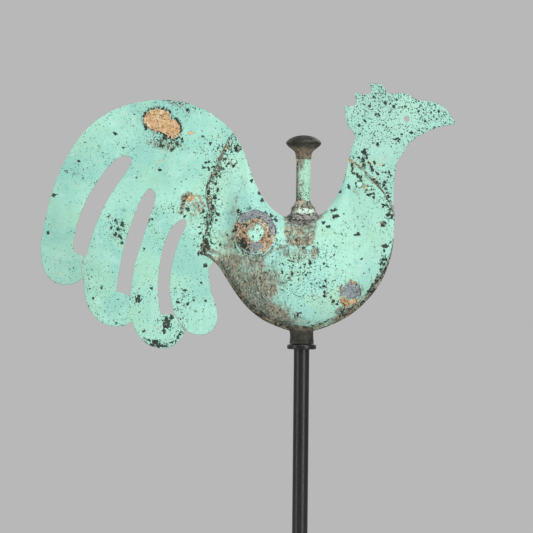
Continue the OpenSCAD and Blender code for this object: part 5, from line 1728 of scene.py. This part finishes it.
# ------------------------------------------------------------------ tube, flashing, cap, ferrule
def upright_tube():
    bottom, top, bore = 2.3, 202.6, TUBE_R - 1.0

    def rough(radius, height, angle):
        if radius[0] <= TUBE_R - 0.5:
            return radius, height
        broad = 0.5 + 0.5 * round_noise(radius, height, angle, 12, 3, 401)
        fine = 0.5 + 0.5 * round_noise(radius, height, angle, 3, 2, 402)
        return radius - 0.10 * broad - 0.04 * fine, height

    profile = [(bore, bottom)] + [(TUBE_R, z) for z in np.linspace(bottom, top, 150)]
    verts, faces = lathe(profile + [(bore, top)], 72, rough)
    x, y, z = verts.T
    wear = Weathering(x, z, y)
    # darker and browner toward the -X edge of the tube
    wear["dark"] = ramp(x, -4.6, -6.6) * wear.vary(0.46, 0.4, 8, 2, 406)
    wear.ramps(
        ("dark", z, 156, 148, (0.30, 0.4, 4, 2, 409)),
        ("stain_and_shade", x, -3.4, -6.0, (0.92, 0.3, 9, 3, 403)),
        ("stain_and_shade", z, 186.5, 192.5, 0.62),
        ("stain_and_shade", z, 158, 147, (0.42, 0.4, 6, 3, 404)),
        ("stain_and_shade", x, 5, -2, 0.60 + 0.50 * fbm(x, y, z * 0.5, 6, 3, 407)),
        ("bare", x, -4.2, -6.6, (0.36, 0.4, 6, 2, 405)),
        ("bare", z, 153, 146, 0.48),
        ("bare", z, 176, 190, 0.30, ramp(x, -3, 2)))
    wear["speck"] = np.clip(0.25 + 0.4 * ramp(z, 170, 148) + 0.35 * ramp(x, 2, -5), 0, 1)
    wear["tone"] = wear.vary(0.93, 0.03, 12, 2, 408)
    make("upright_tube", world(verts), faces, TUBE_PATINA, "pivot_tube", wear,
         sharp=50)


def flashing_wear_and_highlight(x, y, z):
    wear = Weathering(x, z, y, speck=0.75)
    noise = wear.vary
    wear["stain_and_shade"] = noise(0.66, 0.30, 7, 3, 422) + 0.30 * ramp(z, 130, 125)
    wear.ramps(
        ("lead", z, 137.5, 133.0, (0.52, 0.35, 6, 3, 421)),
        ("lead", z, 142, 146, 0.45),
        ("bare", z, 141, 145.5, 0.52 * noise(0.8, 0.4, 5, 2, 423)),
        ("bare", np.abs(z - 140.2), 1.4, 0.2, (0.40, 0.3, 5, 2, 424)),
        ("dark", np.abs(z - 141.3 - noise(0, 0.7, 6, 2, 425)), 1.0, 0.1, 0.78),
        ("dark", np.abs(z - 133.2 - noise(0, 1.0, 5, 2, 427)), 0.9, 0.1, 0.56),
        ("dark", np.abs(z - 127.6 - noise(0, 0.9, 6, 2, 428)), 1.3, 0.2, 0.52),
        ("dark", x, -8.5, -12.5, (0.5, 0.3, 5, 2, 426), ramp(z, 146, 138)))
    wear.spots(("lead", 3.5, 130.2, 10, 3.0, 0, 0.4, 0.62), straight=True)
    # painted highlight: a pale spot on the near side, where the stained colours give way to pale
    # patina
    painted_highlight = spot(x, z, 2.2, 137.2, 9.0, 2.7, 2, 0.3) * (y < 0)
    for key in ("stain_and_shade", "dark", "lead", "bare"):
        wear[key] = wear[key] * (1 - 0.92 * painted_highlight)
    # the painted highlight also brightens the patina there
    wear["tone"] = 1.0 + 0.10 * painted_highlight
    return wear


def back_flashing():
    """A stepped cone of dressed sheet and solder that spreads onto the saddle of the back."""
    profile = smooth_profile([[TUBE_R + 0.1, 147.6], [8.0, 147.3], [8.6, 145.4], [9.4, 143.6],
                              [10.6, 141.8], [11.9, 140.9], [12.7, 140.0], [12.5, 138.9],
                              [12.9, 137.0], [13.6, 134.8], [14.6, 132.8], [15.6, 130.9],
                              [16.6, 129.2], [17.3, 127.4]], 5)
    segments, count = 120, len(profile)
    angles = circle(segments)
    grid = np.zeros((count + 2, segments, 3))
    lumps = round_noise(profile[:, :1], profile[:, 1:] + 0 * angles, angles, 5.5, 3, 411)
    for j, angle in enumerate(angles):
        cos, sin = math.cos(angle), math.sin(angle)
        for i, (radius, height) in enumerate(profile):
            t = i / (count - 1)
            lump = float(lumps[i, j])
            r = radius + 0.42 * lump * ramp(t, 0.05, 0.3) + 0.5 * math.sin(3 * angle + 1) * t * t
            r = min(r, 17.3) if t > 0.5 else r
            z = height + 0.45 * lump * ramp(t, 0.1, 0.5)
            x, y = r * cos * (1 + 0.14 * float(ramp(t, 0.55, 0.95))), r * sin
            floor = top_of_body(x, y, 118.0) + 0.45 * (1 - t) + 0.10
            # ease onto the body instead of cutting through it
            if z <= floor + 1.2:
                z = floor + 1.2 * math.exp(min(0.0, (z - floor - 1.2)) / 1.2)
            grid[i, j] = (x, y, max(z, floor))
        # tuck the hem into the body: radius change, drop
        for k, (extra, drop) in enumerate(((0.25, 0.35), (-0.6, 2.2))):
            x, y, z = grid[count - 1, j]
            r = math.hypot(x, y) + extra
            grid[count + k, j] = (r * cos, r * sin, top_of_body(r * cos, r * sin, z) - drop)
    faces = grid_faces(len(grid), segments)
    bore = len(grid) * segments
    walls = [np.stack([(TUBE_R - 0.2) * np.cos(angles), (TUBE_R - 0.2) * np.sin(angles),
                       np.full(segments, z)], -1) for z in (120.0, 147.4)]
    verts = np.vstack([grid.reshape(-1, 3)] + walls)
    last = bore - segments
    for i in range(segments):
        j = (i + 1) % segments
        faces.append((last + i, bore + i, bore + j, last + j))
        faces.append((bore + i, bore + segments + i, bore + segments + j, bore + j))
        faces.append((bore + segments + i, i, j, bore + segments + j))
    make("back_flashing", world(verts), faces, COLLAR_PATINA,
         "tube_flashing", flashing_wear_and_highlight(*verts.T), flip=True)


def button_finial():
    cap = smooth_profile([[TUBE_R + 0.08, CAP_LOW + 0.1], [TUBE_R + 0.62, CAP_LOW + 0.15],
                          [TUBE_R + 0.75, 192.4], [8.3, 194.9], [9.0, 197.4], [10.6, 199.4],
                          [13.2, 201.6], [15.6, 203.5], [CAP_R - 1.25, 205.2],
                          [CAP_R - 0.4, 206.4], [CAP_R - 0.12, 207.5], [CAP_R - 0.5, 208.6],
                          [CAP_R - 1.8, 210.0], [14.2, 211.8], [11.0, 213.3], [7.2, 214.5],
                          [3.4, 215.1], [0, CAP_HIGH - 0.12]], 5)
    socket_top = 203.6

    def rough(radius, height, angle):
        dent = 0.14 * (0.5 + 0.5 * round_noise(radius, height, angle, 7, 3, 431)) * (radius > 9)
        ragged = (0.8 * (height < CAP_LOW + 0.4) * (radius > TUBE_R + 0.3)
                  * (0.5 + 0.5 * round_noise(radius, height, angle, 6, 2, 435)))
        sag = 0.08 * round_noise(radius, height, angle, 9, 2, 432)
        return radius - dent, height - sag + ragged

    profile = [(0, socket_top), (TUBE_R + 0.08, socket_top)] + [tuple(row) for row in cap]
    verts, faces = lathe(profile, 128, rough)
    x, y, z = verts.T
    warm = ramp(z, 204.5, 199.5) * (0.62 + 0.35 * fbm(x, y, z, 6, 3, 433))
    green = ramp(z, 193.5, 190.5) * (0.30 + 0.4 * fbm(x, y, z, 5, 3, 434)) * ramp(x, -4, 4)
    make("button_finial", world(verts), faces, BRONZE, "finial_cap",
         {"warm": np.clip(warm, 0, 1), "green": np.clip(green, 0, 1)}, sharp=50)


def belly_ferrule():
    profile = smooth_profile([[9.7, 0.5], [11.4, 0.45], [12.2, 0.6], [12.5, 1.4], [12.45, 3.2],
                              [12.2, 6], [12.05, 9], [11.95, 12], [11.92, 15], [11.95, 18],
                              [11.9, 21], [11.8, 24], [11.3, 25.6], [9.6, 25.9]], 4)

    def rough(radius, height, angle):
        dent = 0.10 * (0.5 + 0.5 * round_noise(radius, height, angle, 6, 3, 441))
        # the upper part swells toward the tail
        swell = 2.0 * ramp(height, 8, 20) * np.maximum(0, -np.cos(angle)) ** 6 * (radius > 11)
        return radius - dent + swell, height

    verts, faces = lathe(profile, 96, rough)
    x, y, z = verts.T
    warm = ramp(z, 11, 17) * (0.30 + 0.35 * fbm(x, y, z, 5, 3, 442))
    green = (0.30 * spot(x, z, 1.0, 20.5, 1.6, 3.6) + 0.44 * spot(x, z, -6, 20.5, 4, 2)) * (y < 0)
    make("belly_ferrule", world(verts), faces, BRONZE, "socket_ferrule",
         {"warm": np.clip(warm, 0, 1), "green": np.clip(green, 0, 1)}, sharp=50)


def mast():
    bottom, top, under = -FLANGE_TOP, -FLANGE_T - 0.02, -FLANGE_T
    foot = smooth_profile([[MAST_R - 0.9, bottom + 0.02], [MAST_R - 0.35, bottom + 0.3],
                           [MAST_R - 0.03, bottom + 1.0]], 4)
    pole = [(0, bottom), (MAST_R - 1.0, bottom)] + [tuple(row) for row in foot]
    pole += [(MAST_R, z) for z in np.linspace(bottom + 1.4, top, 60)] + [(0, top)]
    verts, faces = lathe(pole, 160)
    make("mast_rod", world(verts), faces, PAINT, "mast_pole", sharp=40,
         body="mast")
    bore = 5.1
    disc = smooth_profile([[MAST_R + 0.05, under + 0.02], [FLANGE_R - 1.4, under + 0.03],
                           [FLANGE_R - 0.5, under + 0.35], [FLANGE_R - 0.08, under + 1.1],
                           [FLANGE_R - 0.02, under + 2.4], [FLANGE_R - 0.05, -1.0],
                           [FLANGE_R - 0.35, -0.35], [FLANGE_R - 1.1, -0.06], [8.0, -0.02],
                           [bore, -0.02]], 5)
    verts, faces = lathe([tuple(row) for row in disc] + [(bore, under + 0.02)], 144)
    make("mast_disc", world(verts), faces, PAINT, "mast_flange", sharp=40,
         body="mast")


upright_tube()
back_flashing()
button_finial()
belly_ferrule()
mast()

# CAD pieces that are shown as they are
for node, material in (("spindle", STEEL), ("lower_bush", BUSH), ("upper_bush", BUSH),
                       ("pivot_cup", BUSH)):
    piece = frame["nodes"][node]
    if not piece.material_slots:
        piece.data.materials.append(material)
    for slot in piece.material_slots:
        slot.material = material

# ------------------------------------------------------------------ stage, light, camera
scene = bpy.context.scene
scene.view_settings.view_transform = "Standard"
scene.view_settings.look = "None"
scene.view_settings.exposure = 0.0
scene.view_settings.gamma = 1.0


def floor_material():
    """Pale and matt, fading to clear toward the rim and clear from below."""
    mat = Shader("pale_floor")
    distance = mat.node("ShaderNodeVectorMath", operation="LENGTH")
    mat.put(distance.inputs[0], mat.coords)
    matt = mat.node("ShaderNodeBsdfDiffuse")
    pale = mat.mix(mat.noise(3, 2), linear((206, 204, 202)), linear((214, 212, 210)))
    mat.put(matt.inputs["Color"], pale)
    clear = mat.node("ShaderNodeBsdfTransparent")
    below = mat.node("ShaderNodeNewGeometry").outputs["Backfacing"]
    fade = mat.step(distance.outputs["Value"], 420, 880)
    mixer = mat.node("ShaderNodeMixShader")
    mat.fill(mixer, {0: mat.larger(fade, below), 1: matt.outputs[0], 2: clear.outputs[0]})
    mat.put(mat.output.inputs[0], mixer.outputs[0])
    return mat.material


def floor():
    segments = 96
    radii = [0.15, 0.3, 0.45, 0.6, 0.75, 0.9]        # metres
    verts = [(0, 0, 0)]
    for r in radii:
        verts += [(r * math.cos(angle), r * math.sin(angle), 0) for angle in circle(segments)]
    faces = [(0, 1 + j, 1 + (j + 1) % segments) for j in range(segments)]
    for i in range(len(radii) - 1):
        low, high = 1 + i * segments, 1 + (i + 1) * segments
        for j in range(segments):
            k = (j + 1) % segments
            faces.append((low + j, high + j, high + k, low + k))
    mesh = bpy.data.meshes.new("floor")
    mesh.from_pydata(verts, [], faces)
    disc = bpy.data.objects.new("floor", mesh)
    scene.collection.objects.link(disc)
    disc.location = (0, 0, CAD_LOW.z - 0.0002)
    mesh.materials.append(floor_material())


def studio():
    """Grey to the camera, faint cool light to everything else."""
    scene.world = bpy.data.worlds.new("studio")
    scene.world.use_nodes = True
    tree = scene.world.node_tree
    tree.nodes.clear()
    output = tree.nodes.new("ShaderNodeOutputWorld")
    backdrop = tree.nodes.new("ShaderNodeBackground")
    backdrop.inputs["Color"].default_value = (*linear((184, 184, 184)), 1)
    ambient = tree.nodes.new("ShaderNodeBackground")
    ambient.inputs["Color"].default_value = (0.93, 0.97, 1.0, 1)
    ambient.inputs["Strength"].default_value = 0.36
    path = tree.nodes.new("ShaderNodeLightPath")
    mixer = tree.nodes.new("ShaderNodeMixShader")
    tree.links.new(path.outputs["Is Camera Ray"], mixer.inputs[0])
    tree.links.new(ambient.outputs[0], mixer.inputs[1])
    tree.links.new(backdrop.outputs[0], mixer.inputs[2])
    tree.links.new(mixer.outputs[0], output.inputs[0])


AIM = Vector((0.0, 0.0, FLANGE_TOP / 1000.0 + 0.11))
WHITE = (1, 1, 1)
# name, azimuth (0 beside the camera, positive toward +X) and elevation in degrees,
# distance, width and height in metres, power in watts, colour
SOFTBOXES = (
    ("key_right", 39, 8, 1.5, 0.42, 1.5, 11.5, (1.0, 0.985, 0.965)),
    ("fill_left", -60, 6, 1.5, 0.36, 1.5, 7.0, (0.97, 0.985, 1.0)),
    ("front", 8, 38, 2.0, 1.3, 0.9, 12.0, WHITE),
    ("top", 0, 76, 1.4, 1.2, 1.0, 6.0, WHITE),
    ("back_right", 150, 25, 1.6, 0.8, 1.0, 9.0, WHITE),
    ("back_left", -145, 20, 1.6, 0.8, 1.0, 7.0, WHITE))


def softbox(name, azimuth, elevation, distance, width, height, power, colour):
    light = bpy.data.lights.new(name, "AREA")
    light.shape = "RECTANGLE"
    light.size, light.size_y = width, height
    light.energy, light.color = power, colour
    lamp = bpy.data.objects.new(name, light)
    scene.collection.objects.link(lamp)
    around, up = math.radians(azimuth), math.radians(elevation)
    back = Vector((math.sin(around) * math.cos(up), -math.cos(around) * math.cos(up),
                   math.sin(up)))
    lamp.location = AIM + back * distance
    lamp.rotation_mode = "QUATERNION"
    lamp.rotation_quaternion = back.to_track_quat("Z", "Y")


def camera():
    """Looks along +Y, rolled a little; lengths in metres."""
    span, distance, roll = 0.549, 2.7, math.radians(0.573)
    data = bpy.data.cameras.new("camera")
    data.sensor_width = 36.0
    data.lens = 36.0 * distance / span
    data.clip_start, data.clip_end = 0.05, 50
    view = bpy.data.objects.new("camera", data)
    scene.collection.objects.link(view)
    cos, sin = math.cos(roll), math.sin(roll)
    view.matrix_world = Matrix((
        (cos, -sin, 0, -0.0370),
        (0, 0, -1, -distance),
        (sin, cos, 0, FLANGE_TOP / 1000.0 + 0.0798),
        (0, 0, 0, 1)))
    scene.camera = view


floor()
studio()
for row in SOFTBOXES:
    softbox(*row)
camera()
